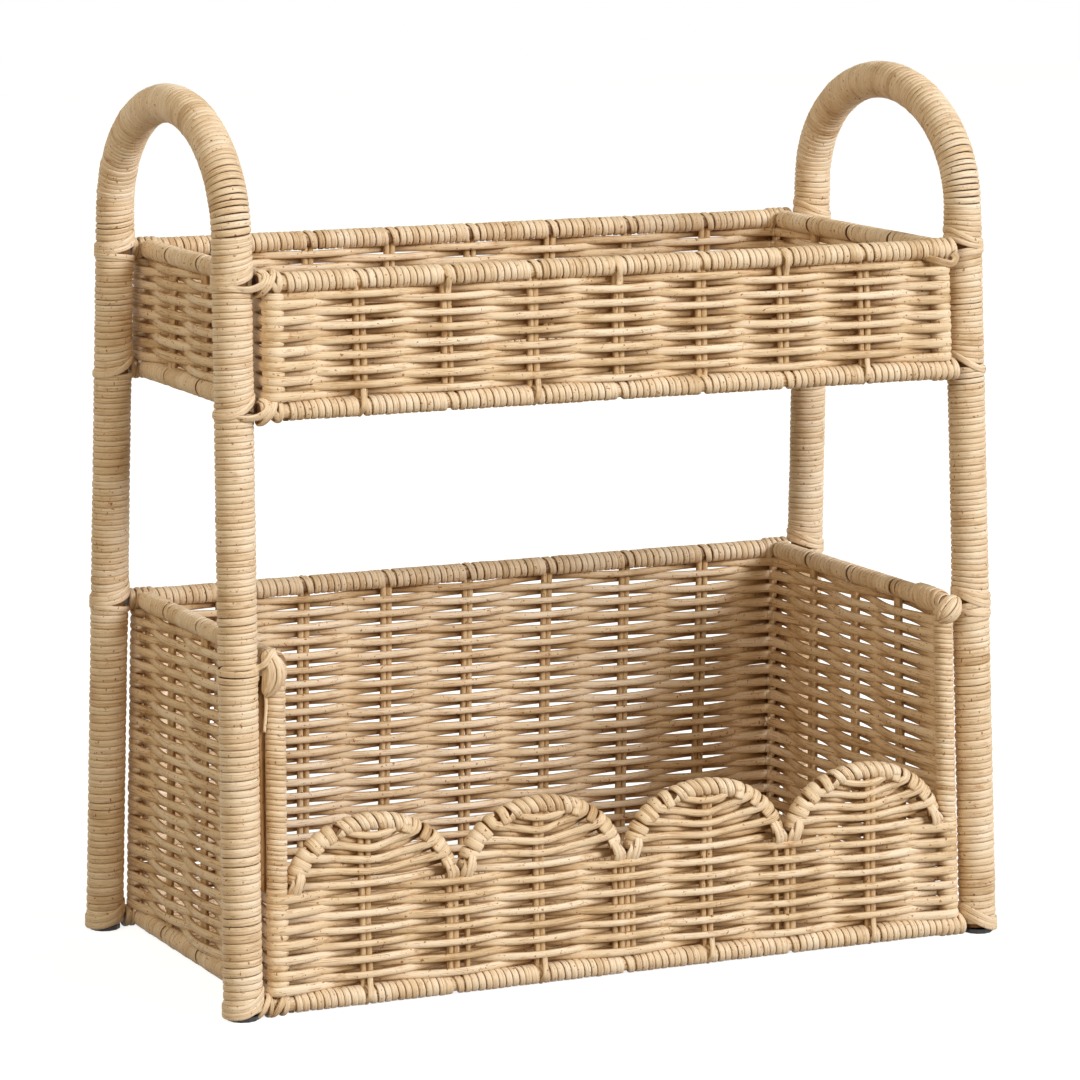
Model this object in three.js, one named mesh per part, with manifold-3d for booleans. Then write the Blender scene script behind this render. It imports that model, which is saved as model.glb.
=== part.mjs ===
// A two-tier cane caddy: two bound arches carry a shallow tray over a deep basket with a lobed front.
// Millimetres, +X to the right, -Y towards the viewer, +Z up, floor at Z = 0.
import * as THREE from "three";
import { mergeVertices } from "three/addons/utils/BufferGeometryUtils.js";
import Module from "manifold-3d";

const wasm = await Module();
wasm.setup();

// The play left between two pieces that rest on or beside each other
const CLEARANCE = 0.3;

// Arches: two bound poles, each bent into an upside-down U that is both leg and handle
const POLE_RADIUS = 10;
const BINDING_THICKNESS = 1.7;
const POST_X_AT_FLOOR = 212.25;
const POST_LEAN_IN = 0.0136;
const POST_Y_AT_FLOOR = 102.2;
const POST_TAPER = 0.048;
const HANDLE_LEG = 20.7;
const ARCH_RISE = 62;

// Glides: a low disc under each leg with a shank driven up into the cane
const GLIDE_RADIUS = 8.4;
const GLIDE_HEIGHT = 2.5;
const GLIDE_EDGE = 0.5;
const SHANK_RADIUS = 1.2;
const SHANK_LENGTH = 11;

// Bound rails and the upright rods between them
const RAIL_RADIUS = 5.25;
const COLUMN_RADIUS = 4.9;

// Weave of the straight walls: flat reeds, each swinging in front of one stake and behind the next
const REED_THICKNESS = 3.3;
const REED_SWING = 3.2;
const ROW_HEIGHT = 3.87;
const LONG_BAYS = 8;
const SIDE_BAYS = 4;

// Lobed front and floors, taken at the mean thickness of the weave
const FRONT_THICKNESS = 8;
const FLOOR_THICKNESS = 6.5;

// How far the corner rods stand inside the legs along the length
const COLUMN_INSIDE_POST = 17.2;

// Upper tray and lower basket: the heights of their rails' middles, and how far the front and back
// rails stand proud of the legs' middles
const TRAY_TOP_Z = 368.7;
const TRAY_DEPTH = 63.4;
const TRAY_PROUD = 6.7;
const BASKET_TOP_Z = 180.4;
const BASKET_BOTTOM_Z = 5.6;
const BASKET_TOP_PROUD = 2.7;
const BASKET_BOTTOM_PROUD = 1;

// Lobed front of the basket, heights measured up the leaning wall from the bottom rail's middle
const LOBE_COUNT = 4;
const FRONT_STRAIGHT_TOP = 58;
const LOBE_PEAK = 93.5;
const HOOP_CORE_RADIUS = 2.1;
const HOOP_BINDING_RADIUS = 1.3;
const HOOP_TURNS = 16;

// Lashings: a cane tie round a leg, sloping up on the inside to pass over the end of a top rail
const LASHING_RADIUS = 1;
const LASHING_TURNS = 2;
const LASHING_PITCH = 3.4;

// How finely the round shapes are cut
const POLE_SIDES = 16;
const CORE_SIDES = 12;
const ARCH_STEPS = 16;
const RAIL_SIDES = 16;
const COLUMN_SIDES = 12;
const HOOP_SIDES = 8;
const HOOP_STEPS = 20;
const STRAND_SIDES = 5;
const STEPS_PER_HOOP_TURN = 8;
const STEPS_PER_LASHING_TURN = 14;

const group = new THREE.Group();
group.name = "storage_caddy";

const COLOURS = {
  cane_core: 0xc9a874,
  cane_binding: 0xdcbd8a,
  cane_weave: 0xd2b07c,
  glide: 0x1c1a19,
};

// Adds one named piece with a material of its own.
function addPiece(name, geometry, slot, parent = group) {
  const material = new THREE.MeshStandardMaterial({ color: COLOURS[slot], roughness: 0.6 });
  material.name = slot;
  const mesh = new THREE.Mesh(geometry, material);
  mesh.name = name;
  parent.add(mesh);
  return mesh;
}

// Keeps only the positions and joins equal corners, so that the surface is closed.
function closed(geometry) {
  const bare = new THREE.BufferGeometry();
  bare.setAttribute("position", geometry.getAttribute("position").clone());
  if (geometry.index) bare.setIndex(geometry.index.clone());
  return mergeVertices(bare, 1e-4);
}

function toManifold(geometry) {
  const merged = closed(geometry);
  return new wasm.Manifold(new wasm.Mesh({
    numProp: 3,
    vertProperties: new Float32Array(merged.getAttribute("position").array),
    triVerts: new Uint32Array(merged.index.array),
  }));
}

function fromManifold(solid) {
  const mesh = solid.getMesh();
  const geometry = new THREE.BufferGeometry();
  geometry.setAttribute("position", new THREE.BufferAttribute(new Float32Array(mesh.vertProperties), 3));
  geometry.setIndex(new THREE.BufferAttribute(new Uint32Array(mesh.triVerts), 1));
  geometry.computeVertexNormals();
  return geometry;
}

function circleShape(radius, sides, holeRadius = 0) {
  const ring = (r) => Array.from({ length: sides }, (_, i) => {
    const angle = (2 * Math.PI * i) / sides;
    return new THREE.Vector2(r * Math.cos(angle), r * Math.sin(angle));
  });
  const shape = new THREE.Shape(ring(radius));
  if (holeRadius > 0) shape.holes.push(new THREE.Path(ring(holeRadius)));
  return shape;
}

// A round rod between two points.
function rod(from, to, radius, sides) {
  const start = new THREE.Vector3(...from);
  const end = new THREE.Vector3(...to);
  return new THREE.ExtrudeGeometry(circleShape(radius, sides), {
    steps: 1,
    bevelEnabled: false,
    extrudePath: new THREE.LineCurve3(start, end),
  });
}

// A path given by a formula, cut at even steps of that formula's own parameter.
class FormulaPath extends THREE.Curve {
  constructor(formula) {
    super();
    this.formula = formula;
  }

  getPoint(t, target = new THREE.Vector3()) {
    return target.set(...this.formula(t));
  }

  getPointAt(u, target) {
    return this.getPoint(u, target);
  }

  getTangentAt(u, target) {
    return this.getTangent(u, target);
  }
}

// The same path with a straight run of a given length added at each end, one step of the tube each.
function withStraightEnds(formula, length, steps) {
  const share = 1 / (steps + 2);
  const straight = (from, towards) => {
    const start = new THREE.Vector3(...formula(from));
    const direction = start.clone().sub(new THREE.Vector3(...formula(towards))).normalize();
    return (part) => start.clone().addScaledVector(direction, length * part).toArray();
  };
  const nearly = 1e-4;
  const before = straight(0, nearly);
  const after = straight(1, 1 - nearly);
  return (t) => {
    if (t < share) return before(1 - t / share);
    if (t > 1 - share) return after(1 - (1 - t) / share);
    return formula((t - share) / (1 - 2 * share));
  };
}

function tubeAlong(formula, radius, sides, steps, holeRadius = 0) {
  return new THREE.ExtrudeGeometry(circleShape(radius, sides, holeRadius), {
    steps,
    bevelEnabled: false,
    extrudePath: new FormulaPath(formula),
  });
}

// Where a leg's middle stands at a height, as positive distances from the centre planes.
const postX = (z) => POST_X_AT_FLOOR - POST_LEAN_IN * z;
const postY = (z) => POST_Y_AT_FLOOR - POST_TAPER * z;

// A tier's corner rods stand upright, inside the legs at the tier's middle height. Its front and
// back walls follow the slant of the legs.
function makeTier(tier, bottomZ, bottomProud, topZ, topProud) {
  return {
    tier,
    columnX: postX((bottomZ + topZ) / 2) - COLUMN_INSIDE_POST,
    bottom: { z: bottomZ, y: postY(bottomZ) + bottomProud },
    top: { z: topZ, y: postY(topZ) + topProud },
  };
}

const tray = makeTier("tray", TRAY_TOP_Z - TRAY_DEPTH, TRAY_PROUD, TRAY_TOP_Z, TRAY_PROUD);
const basket = makeTier("basket", BASKET_BOTTOM_Z, BASKET_BOTTOM_PROUD, BASKET_TOP_Z, BASKET_TOP_PROUD);

// The legs run straight to a little above the tray, where the arch of the handle springs.
const ARCH_SPRING_Z = TRAY_TOP_Z + HANDLE_LEG;

// The lowest edge of the slanting pole end stays clear of the glide.
const POLE_FOOT_Z = GLIDE_HEIGHT + CLEARANCE + POLE_RADIUS * POST_TAPER;

// One arch: a straight leg, half an ellipse over the top and the other straight leg.
function archPoint(t, side) {
  const legShare = 1 / (ARCH_STEPS + 2);
  const springY = postY(ARCH_SPRING_Z);
  let y;
  let z;
  if (t <= legShare) {
    z = POLE_FOOT_Z + (ARCH_SPRING_Z - POLE_FOOT_Z) * (t / legShare);
    y = -postY(z);
  } else if (t >= 1 - legShare) {
    z = POLE_FOOT_Z + (ARCH_SPRING_Z - POLE_FOOT_Z) * ((1 - t) / legShare);
    y = postY(z);
  } else {
    const angle = Math.PI * (1 - (t - legShare) / (1 - 2 * legShare));
    y = springY * Math.cos(angle);
    z = ARCH_SPRING_Z + ARCH_RISE * Math.sin(angle);
  }
  return [side * postX(z), y, z];
}

for (const [label, side] of [["left", -1], ["right", 1]]) {
  const path = (t) => archPoint(t, side);
  const steps = ARCH_STEPS + 2;
  const coreRadius = POLE_RADIUS - BINDING_THICKNESS - CLEARANCE;
  let core = toManifold(tubeAlong(path, coreRadius, CORE_SIDES, steps));
  for (const [depth, end] of [["front", -1], ["back", 1]]) {
    const footX = side * postX(POLE_FOOT_Z);
    const footY = end * postY(POLE_FOOT_Z);
    const shankTop = GLIDE_HEIGHT + SHANK_LENGTH;
    const bore = rod([footX, footY, 0], [footX, footY, shankTop + CLEARANCE],
      SHANK_RADIUS + CLEARANCE, CORE_SIDES);
    core = core.subtract(toManifold(bore));

    const profile = [
      [0, 0],
      [GLIDE_RADIUS - GLIDE_EDGE, 0],
      [GLIDE_RADIUS, GLIDE_EDGE],
      [GLIDE_RADIUS, GLIDE_HEIGHT],
      [SHANK_RADIUS, GLIDE_HEIGHT],
      [SHANK_RADIUS, shankTop],
      [0, shankTop],
    ].map(([r, z]) => new THREE.Vector2(r, z));
    const glide = new THREE.LatheGeometry(profile, COLUMN_SIDES);
    glide.rotateX(Math.PI / 2);
    const mesh = addPiece(`glide_${label}_${depth}`, glide, "glide");
    mesh.position.set(footX, footY, 0);
  }
  addPiece(`arch_core_${label}`, fromManifold(core), "cane_core");
  addPiece(`arch_binding_${label}`,
    tubeAlong(path, POLE_RADIUS, POLE_SIDES, steps, POLE_RADIUS - BINDING_THICKNESS), "cane_binding");
}

// A plain panel: an outline in its own plane, thickened evenly to both sides.
function slab(outline, thickness) {
  const shape = new THREE.Shape(outline.map(([u, v]) => new THREE.Vector2(u, v)));
  const panel = new THREE.ExtrudeGeometry(shape, { steps: 1, depth: thickness, bevelEnabled: false });
  panel.translate(0, 0, -thickness / 2);
  return panel;
}

// A woven wall as one sheet in its own plane, u across and v up. The middle of each row of reed is
// a line of corners that swings to one face at a stake and to the other face at the next, and the
// row above swings the other way. The sheet's top and bottom edges run straight.
function wovenSheet(halfAt, low, high, bays, rows, outward) {
  const lastLine = rows + 1;
  const lineLength = bays + 1;
  const swing = (line, stake) => {
    if (line === 0 || line === lastLine) return 0;
    return outward * REED_SWING * ((line + stake) % 2 === 0 ? 1 : -1);
  };
  const corners = [];
  for (const face of [1, -1]) {
    for (let line = 0; line <= lastLine; line += 1) {
      const rowsUp = Math.min(Math.max(line - 0.5, 0), rows);
      const v = low + ((high - low) * rowsUp) / rows;
      for (let stake = 0; stake <= bays; stake += 1) {
        const u = halfAt(v) * ((2 * stake) / bays - 1);
        corners.push(u, v, swing(line, stake) + (face * REED_THICKNESS) / 2);
      }
    }
  }

  const front = (line, stake) => line * lineLength + stake;
  const back = (line, stake) => front(line, stake) + (lastLine + 1) * lineLength;
  const triangles = [];
  const addQuad = (a, b, c, d) => triangles.push(a, b, c, a, c, d);
  for (let line = 0; line < lastLine; line += 1) {
    for (let stake = 0; stake < bays; stake += 1) {
      // Each quad is folded between its two outward corners.
      const ring = [[line, stake], [line, stake + 1], [line + 1, stake + 1], [line + 1, stake]];
      if ((line + stake) % 2 !== 0) ring.push(ring.shift());
      addQuad(...ring.map((corner) => front(...corner)));
      const [a, b, c, d] = ring.map((corner) => back(...corner));
      addQuad(a, d, c, b);
    }
    addQuad(back(line, 0), front(line, 0), front(line + 1, 0), back(line + 1, 0));
    addQuad(front(line, bays), back(line, bays), back(line + 1, bays), front(line + 1, bays));
  }
  for (let stake = 0; stake < bays; stake += 1) {
    addQuad(back(0, stake), back(0, stake + 1), front(0, stake + 1), front(0, stake));
    addQuad(front(lastLine, stake), front(lastLine, stake + 1), back(lastLine, stake + 1),
      back(lastLine, stake));
  }
  const sheet = new THREE.BufferGeometry();
  sheet.setAttribute("position", new THREE.Float32BufferAttribute(corners, 3));
  sheet.setIndex(triangles);
  sheet.computeVertexNormals();
  return sheet;
}

// The slope of a tier's front and back walls, which lean in towards the top.
function tierLean(bottom, top) {
  return Math.atan2(bottom.y - top.y, top.z - bottom.z);
}

// A group whose own plane is the leaning front or back wall, with v running up the wall.
function leaningPlane(bottom, top, end) {
  const frame = new THREE.Group();
  frame.position.set(0, end * bottom.y, bottom.z);
  frame.rotation.set(Math.PI / 2 + end * tierLean(bottom, top), 0, 0);
  group.add(frame);
  return frame;
}

// The end of a long rail stops just short of the leg that it is tied to.
const railReach = (z) => postX(z + RAIL_RADIUS) - POLE_RADIUS - CLEARANCE;

function addLongRail(name, level, end) {
  const reach = railReach(level.z);
  addPiece(name, rod([-reach, end * level.y, level.z], [reach, end * level.y, level.z],
    RAIL_RADIUS, RAIL_SIDES), "cane_binding");
}

// How far from a rail's middle the pieces that meet it start
const rim = RAIL_RADIUS + CLEARANCE;

function addSideRail(name, columnX, side, level, frontY) {
  const backY = level.y - rim;
  addPiece(name, rod([side * columnX, frontY, level.z], [side * columnX, backY, level.z],
    RAIL_RADIUS, RAIL_SIDES), "cane_binding");
}

// An upright rod in a corner, from the bottom rail to the underside of the top rail.
function addColumn(name, columnX, side, end, bottom, top) {
  const length = Math.hypot(top.z - bottom.z, bottom.y - top.y);
  const share = rim / length;
  const at = (s) => [
    side * columnX,
    end * (bottom.y + (top.y - bottom.y) * s),
    bottom.z + (top.z - bottom.z) * s,
  ];
  addPiece(name, rod(at(share), at(1 - share), COLUMN_RADIUS, COLUMN_SIDES), "cane_binding");
}

// Half the clear width of a long wall between its two columns
const wallHalf = (columnX) => columnX - COLUMN_RADIUS - CLEARANCE;

// The clear height of a tier's walls between its rails holds a whole number of rows.
const rowCount = (bottom, top) => Math.round((top.z - bottom.z - 2 * rim) / ROW_HEIGHT);

function addLongWall(name, columnX, bottom, top, end) {
  const length = Math.hypot(top.z - bottom.z, bottom.y - top.y);
  const half = () => wallHalf(columnX);
  const sheet = wovenSheet(half, rim, length - rim, LONG_BAYS, rowCount(bottom, top), -end);
  addPiece(name, sheet, "cane_weave", leaningPlane(bottom, top, end));
}

function addSideWall(name, columnX, bottom, top, side) {
  const slope = (top.y - bottom.y) / (top.z - bottom.z);
  const half = (z) => bottom.y + slope * (z - bottom.z) - COLUMN_RADIUS - CLEARANCE;
  const sheet = wovenSheet(half, bottom.z + rim, top.z - rim, SIDE_BAYS, rowCount(bottom, top), side);
  const mesh = addPiece(name, sheet, "cane_weave");
  mesh.rotation.set(Math.PI / 2, Math.PI / 2, 0);
  mesh.position.set(side * columnX, 0, 0);
}

function addFloor(name, columnX, level) {
  const halfX = columnX - rim;
  const halfY = level.y - rim;
  const panel = slab([[-halfX, -halfY], [halfX, -halfY], [halfX, halfY], [-halfX, halfY]],
    FLOOR_THICKNESS);
  addPiece(name, panel, "cane_weave").position.set(0, 0, level.z);
}

// A lashing's turns round the leg. They start on the side away from the corner rod and come down
// steadily, and each rises on the rod's side, so that the lowest turn just clears the rail below it.
function lashingPath(side, end, columnX, level) {
  const halfStep = Math.PI / STEPS_PER_LASHING_TURN;
  const ringRadius = (POLE_RADIUS + CLEARANCE) / Math.cos(halfStep) + LASHING_RADIUS;
  const rise = rim + LASHING_RADIUS + (LASHING_PITCH * (LASHING_TURNS - 1)) / 2;
  const heading = Math.atan2(level.y - postY(level.z), columnX - postX(level.z));
  return (t) => {
    const turns = LASHING_TURNS * t;
    const angle = 2 * Math.PI * turns;
    const z = level.z + LASHING_PITCH * (LASHING_TURNS / 2 - turns) + (rise * (1 - Math.cos(angle))) / 2;
    return [
      side * (postX(z) - ringRadius * Math.cos(heading + angle)),
      end * (postY(z) - ringRadius * Math.sin(heading + angle)),
      z,
    ];
  };
}

// The least distance between a tube's runs, measured on points of its middle line at least
// half a turn apart along the tube, less the tube's own thickness.
function leastGap(path, turns, stepsPerTurn, radius) {
  const count = turns * stepsPerTurn * 2;
  const points = Array.from({ length: count + 1 }, (_, i) => new THREE.Vector3(...path(i / count)));
  let least = Infinity;
  for (let i = 0; i < points.length; i += 1) {
    for (let j = i + stepsPerTurn; j < points.length; j += 1) {
      least = Math.min(least, points[i].distanceTo(points[j]));
    }
  }
  return least - 2 * radius;
}

// One unbroken wound strand with straight ends, which prints its least gap to itself.
function addWinding(name, path, radius, turns, stepsPerTurn, parent) {
  const steps = turns * stepsPerTurn;
  const whole = withStraightEnds(path, 2 * radius, steps);
  addPiece(name, tubeAlong(whole, radius, STRAND_SIDES, steps + 2), "cane_binding", parent);
  const gap = leastGap(path, turns, stepsPerTurn, radius);
  console.log(`${name}: least gap to itself ${gap.toFixed(2)} mm`);
}

for (const { tier, columnX, bottom, top } of [tray, basket]) {
  const openFront = tier === "basket";
  for (const [depth, end] of [["front", -1], ["back", 1]]) {
    addLongRail(`${tier}_bottom_rail_${depth}`, bottom, end);
    if (!(openFront && end < 0)) {
      addLongRail(`${tier}_top_rail_${depth}`, top, end);
      addLongWall(`${tier}_wall_${depth}`, columnX, bottom, top, end);
    }
  }
  for (const [label, side] of [["left", -1], ["right", 1]]) {
    addSideRail(`${tier}_bottom_rail_${label}`, columnX, side, bottom, -bottom.y + rim);
    addSideRail(`${tier}_top_rail_${label}`, columnX, side, top,
      openFront ? -top.y - RAIL_RADIUS : -top.y + rim);
    addSideWall(`${tier}_wall_${label}`, columnX, bottom, top, side);
    for (const [depth, end] of [["front", -1], ["back", 1]]) {
      addColumn(`${tier}_column_${label}_${depth}`, columnX, side, end, bottom, top);
      const path = lashingPath(side, end, columnX, top);
      addWinding(`${tier}_lashing_${label}_${depth}`, path, LASHING_RADIUS, LASHING_TURNS,
        STEPS_PER_LASHING_TURN, group);
    }
  }
  addFloor(`${tier}_floor`, columnX, bottom);
}

// Lobed front wall: a straight band with four half-round lobes, each rimmed by a bound hoop
const frontHalf = wallHalf(basket.columnX);
const lobeHalf = frontHalf / LOBE_COUNT;
const hoopRadius = HOOP_CORE_RADIUS + CLEARANCE + 2 * HOOP_BINDING_RADIUS;
const hoopHalfWidth = lobeHalf - hoopRadius - CLEARANCE / 2;
const hoopRise = LOBE_PEAK - FRONT_STRAIGHT_TOP - hoopRadius;
const hoopFootV = FRONT_STRAIGHT_TOP + CLEARANCE;
const frontPlane = leaningPlane(basket.bottom, basket.top, -1);
const lobeCentres = Array.from({ length: LOBE_COUNT }, (_, i) => -frontHalf + lobeHalf * (2 * i + 1));

// A point on the middle line of a hoop.
function hoopArc(centre, angle) {
  return [centre + hoopHalfWidth * Math.cos(angle), hoopFootV + hoopRise * Math.sin(angle)];
}

const frontOutline = [
  [-frontHalf, rim],
  [frontHalf, rim],
  [frontHalf, FRONT_STRAIGHT_TOP],
];
for (const centre of [...lobeCentres].reverse()) {
  for (let i = 0; i <= HOOP_STEPS; i += 1) {
    const angle = (Math.PI * i) / HOOP_STEPS;
    frontOutline.push([
      centre + (hoopHalfWidth - hoopRadius - CLEARANCE) * Math.cos(angle),
      FRONT_STRAIGHT_TOP + (hoopRise - hoopRadius) * Math.sin(angle),
    ]);
  }
}
frontOutline.push([-frontHalf, FRONT_STRAIGHT_TOP]);
addPiece("basket_wall_front", slab(frontOutline, FRONT_THICKNESS), "cane_weave", frontPlane);

lobeCentres.forEach((centre, index) => {
  const core = (t) => {
    const [u, v] = hoopArc(centre, Math.PI * (1 - t));
    return [u, v, 0];
  };
  const label = index + 1;
  addPiece(`hoop_core_${label}`, tubeAlong(core, HOOP_CORE_RADIUS, HOOP_SIDES, HOOP_STEPS),
    "cane_core", frontPlane);

  // The binding spirals round the hoop between two plain stretches at its feet.
  const coilRadius = HOOP_CORE_RADIUS + CLEARANCE + HOOP_BINDING_RADIUS;
  const bare = 0.03;
  const binding = (t) => {
    const angle = Math.PI * (1 - (bare + (1 - 2 * bare) * t));
    const [u, v] = hoopArc(centre, angle);
    const outward = new THREE.Vector2(Math.cos(angle) / (hoopHalfWidth), Math.sin(angle) / hoopRise)
      .normalize();
    const turn = 2 * Math.PI * HOOP_TURNS * t;
    const out = coilRadius * Math.cos(turn);
    return [u + outward.x * out, v + outward.y * out, coilRadius * Math.sin(turn)];
  };
  addWinding(`hoop_binding_${label}`, binding, HOOP_BINDING_RADIUS, HOOP_TURNS,
    STEPS_PER_HOOP_TURN, frontPlane);
});

export default group;
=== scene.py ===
# %% [markdown]
# # A two-tier caddy of natural cane
#
# Two bound cane arches are legs and handles at once. They carry a shallow woven tray over a deep
# woven basket with a low front that ends in four round lobes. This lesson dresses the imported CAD
# model: every reed, strip and tie is worked out with numpy and laid where the CAD piece stands.

# %% Load the fixed frame
import math

import bpy
import numpy as np
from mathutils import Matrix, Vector


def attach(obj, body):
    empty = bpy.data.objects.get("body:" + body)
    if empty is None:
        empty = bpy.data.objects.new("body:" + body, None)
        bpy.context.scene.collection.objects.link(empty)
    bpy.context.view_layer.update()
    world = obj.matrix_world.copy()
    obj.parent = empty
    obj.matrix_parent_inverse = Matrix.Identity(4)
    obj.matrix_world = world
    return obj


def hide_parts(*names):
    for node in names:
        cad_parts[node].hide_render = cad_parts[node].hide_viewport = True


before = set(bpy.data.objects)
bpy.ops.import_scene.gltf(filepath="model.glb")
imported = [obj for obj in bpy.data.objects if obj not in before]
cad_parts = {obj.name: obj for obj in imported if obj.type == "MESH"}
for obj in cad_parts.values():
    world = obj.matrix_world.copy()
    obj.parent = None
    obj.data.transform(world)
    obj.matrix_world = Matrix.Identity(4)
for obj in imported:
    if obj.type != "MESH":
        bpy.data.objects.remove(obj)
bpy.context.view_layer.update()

MM = 0.001
rng = np.random.default_rng(11)
print("CAD nodes:", len(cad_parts))

# %% [markdown]
# ## Camera
#
# The photograph was taken with a long lens from the front left, a little above the tray. The turn,
# height and distance were fitted to the legs, rails and corners. Angles are in degrees and lengths
# in millimetres, apart from the farthest distance that is drawn, which is in metres.

# %% Place the camera
VIEW_TURN = 25.0
VIEW_HEIGHT = 9.54
VIEW_DISTANCE = 2504.8
VIEW_TARGET = (-0.4, 0.0, 213.0)
LENS_MM = 156.9
SENSOR_MM = 36
FARTHEST_DRAWN = 20

camera_data = bpy.data.cameras.new("camera")
camera_data.sensor_width = SENSOR_MM
camera_data.lens = LENS_MM
camera_data.clip_end = FARTHEST_DRAWN
camera = bpy.data.objects.new("camera", camera_data)
bpy.context.scene.collection.objects.link(camera)
turn = math.radians(VIEW_TURN)
height = math.radians(VIEW_HEIGHT)
backward = Vector((
    -math.sin(turn) * math.cos(height),
    -math.cos(turn) * math.cos(height),
    math.sin(height),
))
camera.location = (Vector(VIEW_TARGET) + backward * VIEW_DISTANCE) * MM
camera.rotation_euler = (-backward).to_track_quat("-Z", "Y").to_euler()
bpy.context.scene.camera = camera
bpy.context.scene.view_settings.view_transform = "Standard"
print("camera stands at", [round(v, 3) for v in camera.location])

# %% [markdown]
# ## The sizes that everything shares
#
# The looks sit on the CAD solids, so the same few sizes are repeated here: how the legs lean, where
# the rails run and how thick the rods are. They are in millimetres and turned into metres only
# when a mesh is made.

# %% Sizes of the frame
POLE_RADIUS = 10.0
POST_X, POST_LEAN_IN = 212.25, 0.0136
POST_Y, POST_TAPER = 102.2, 0.048
POLE_FOOT_Z, SPRING_Z, ARCH_RISE = 3.28, 389.4, 62.0
RAIL_RADIUS = 5.25
COLUMN_RADIUS = 4.9
COLUMN_INSIDE_POST = 17.2
SIDE_INSIDE_POST = 18.7


def post_x(z):
    """A leg's distance from the middle: it leans in evenly with height."""
    return POST_X - POST_LEAN_IN * z


def post_y(z):
    """A leg's distance from the middle, front or back: the two legs draw together with height."""
    return POST_Y - POST_TAPER * z


class Tier:
    """One woven box: where its rails run and how many rows of weaving lie between them."""

    def __init__(self, name, bottom_z, bottom_proud, top_z, top_proud, rows):
        self.name, self.rows = name, rows
        self.bottom_z, self.top_z = bottom_z, top_z
        self.bottom_y = post_y(bottom_z) + bottom_proud
        self.top_y = post_y(top_z) + top_proud
        self.x = post_x((bottom_z + top_z) / 2) - COLUMN_INSIDE_POST

    def y(self, z):
        """Half depth at a height, on the straight line between the bottom and top rails."""
        share = (z - self.bottom_z) / (self.top_z - self.bottom_z)
        return self.bottom_y + (self.top_y - self.bottom_y) * share

    def side_x(self, z):
        """How far out a side wall stands at a height: it leans in with the legs."""
        return post_x(z) - SIDE_INSIDE_POST


tray = Tier("tray", bottom_z=305.3, bottom_proud=6.7, top_z=368.7, top_proud=6.7, rows=14)
basket = Tier("basket", bottom_z=5.6, bottom_proud=1.0, top_z=180.4, top_proud=2.7, rows=42)
levels = [(tier, level, z, y) for tier in (tray, basket) for level, z, y in (
    ("bottom", tier.bottom_z, tier.bottom_y), ("top", tier.top_z, tier.top_y))]
LONG_BAYS, SIDE_BAYS = 8, 4
long_stakes = {t.name: t.x * (2 * np.arange(1, LONG_BAYS) / LONG_BAYS - 1) for t in (tray, basket)}
corners = [(side, end) for side in (-1, 1) for end in (-1, 1)]
side_name = {-1: "left", 1: "right"}
end_name = {-1: "front", 1: "back"}
print("tray half length", round(tray.x, 1), "basket half length", round(basket.x, 1))

# %% [markdown]
# ## A strand and a piece
#
# Everything on a cane basket is a strand: a round reed or a flat strip of peel that follows some
# line. One function carries an outline along a line of points. Another joins many strands into one
# mesh, with a UV map that runs along each strand and two attributes: how light or brown each strand
# is, so that no two neighbours look alike, and how much shade is painted on it where it lies deep
# among its neighbours.

# %% Carry an outline along a line
EDGE_HEIGHT = -0.15
BASE_CORNER = 0.85
GROOVE_WIDTH = 0.2


def reed_outline(sides):
    """A round: the points (cos a, sin a) at even angles."""
    angle = 2 * np.pi * np.arange(sides) / sides
    return np.stack([np.cos(angle), np.sin(angle)], 1)


def peel_outline(squareness, crown, groove=0.0):
    """A strip of peel, flat below. Above, it rises from its edges by (1 - |across|^squareness)^0.5,
    less a groove along the middle of e^(-(across / groove width)^2)."""
    across = np.cos(np.linspace(0, np.pi, crown))
    arch = np.sqrt(1 - np.abs(across) ** squareness)
    arch = arch - groove * np.exp(-(across / GROOVE_WIDTH) ** 2)
    above = np.stack([across, EDGE_HEIGHT + (1 - EDGE_HEIGHT) * arch], 1)
    return np.concatenate([above, [(-BASE_CORNER, -1.0), (0.0, -1.0), (BASE_CORNER, -1.0)]])


REED = reed_outline(10)
STAKE = reed_outline(8)
DOUBLE_PEEL = peel_outline(3.4, 9, groove=0.12)
FLAT_PEEL = peel_outline(4.5, 8)


def unit(vectors):
    """Vectors scaled to length one."""
    return vectors / np.linalg.norm(vectors, axis=-1, keepdims=True)


def some_tone(middle, spread, count=None):
    """A random tone about a middle one, or several of them."""
    return np.clip(rng.normal(middle, spread, count), 0, 1)


def strand(line, out, width, depth, outline, tone, closed=False, shelter=0.0):
    """A tube: at each point of the line the outline is laid across the line, its second axis
    turned towards out. width and depth are its full sizes, tone its shade from 0 to 1, and the
    last argument how much shade is painted on it where it lies deep among its neighbours, from 0
    in the open to 1."""
    if closed:
        ahead = np.roll(line, -1, 0) - np.roll(line, 1, 0)
    else:
        ahead = np.gradient(line, axis=0)
    ahead = unit(ahead)
    out = np.broadcast_to(out, line.shape)
    out = unit(out - (out * ahead).sum(1, keepdims=True) * ahead)
    across = np.cross(out, ahead)
    count = len(line)
    half_width = np.broadcast_to(np.asarray(width) / 2, count)[:, None, None]
    half_depth = np.broadcast_to(np.asarray(depth) / 2, count)[:, None, None]
    grid = (
        line[:, None]
        + across[:, None] * outline[None, :, :1] * half_width
        + out[:, None] * outline[None, :, 1:] * half_depth
    )
    shelter = np.broadcast_to(np.asarray(shelter, float), (count, len(outline)))
    return grid, closed, np.broadcast_to(tone, count), shelter


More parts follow.
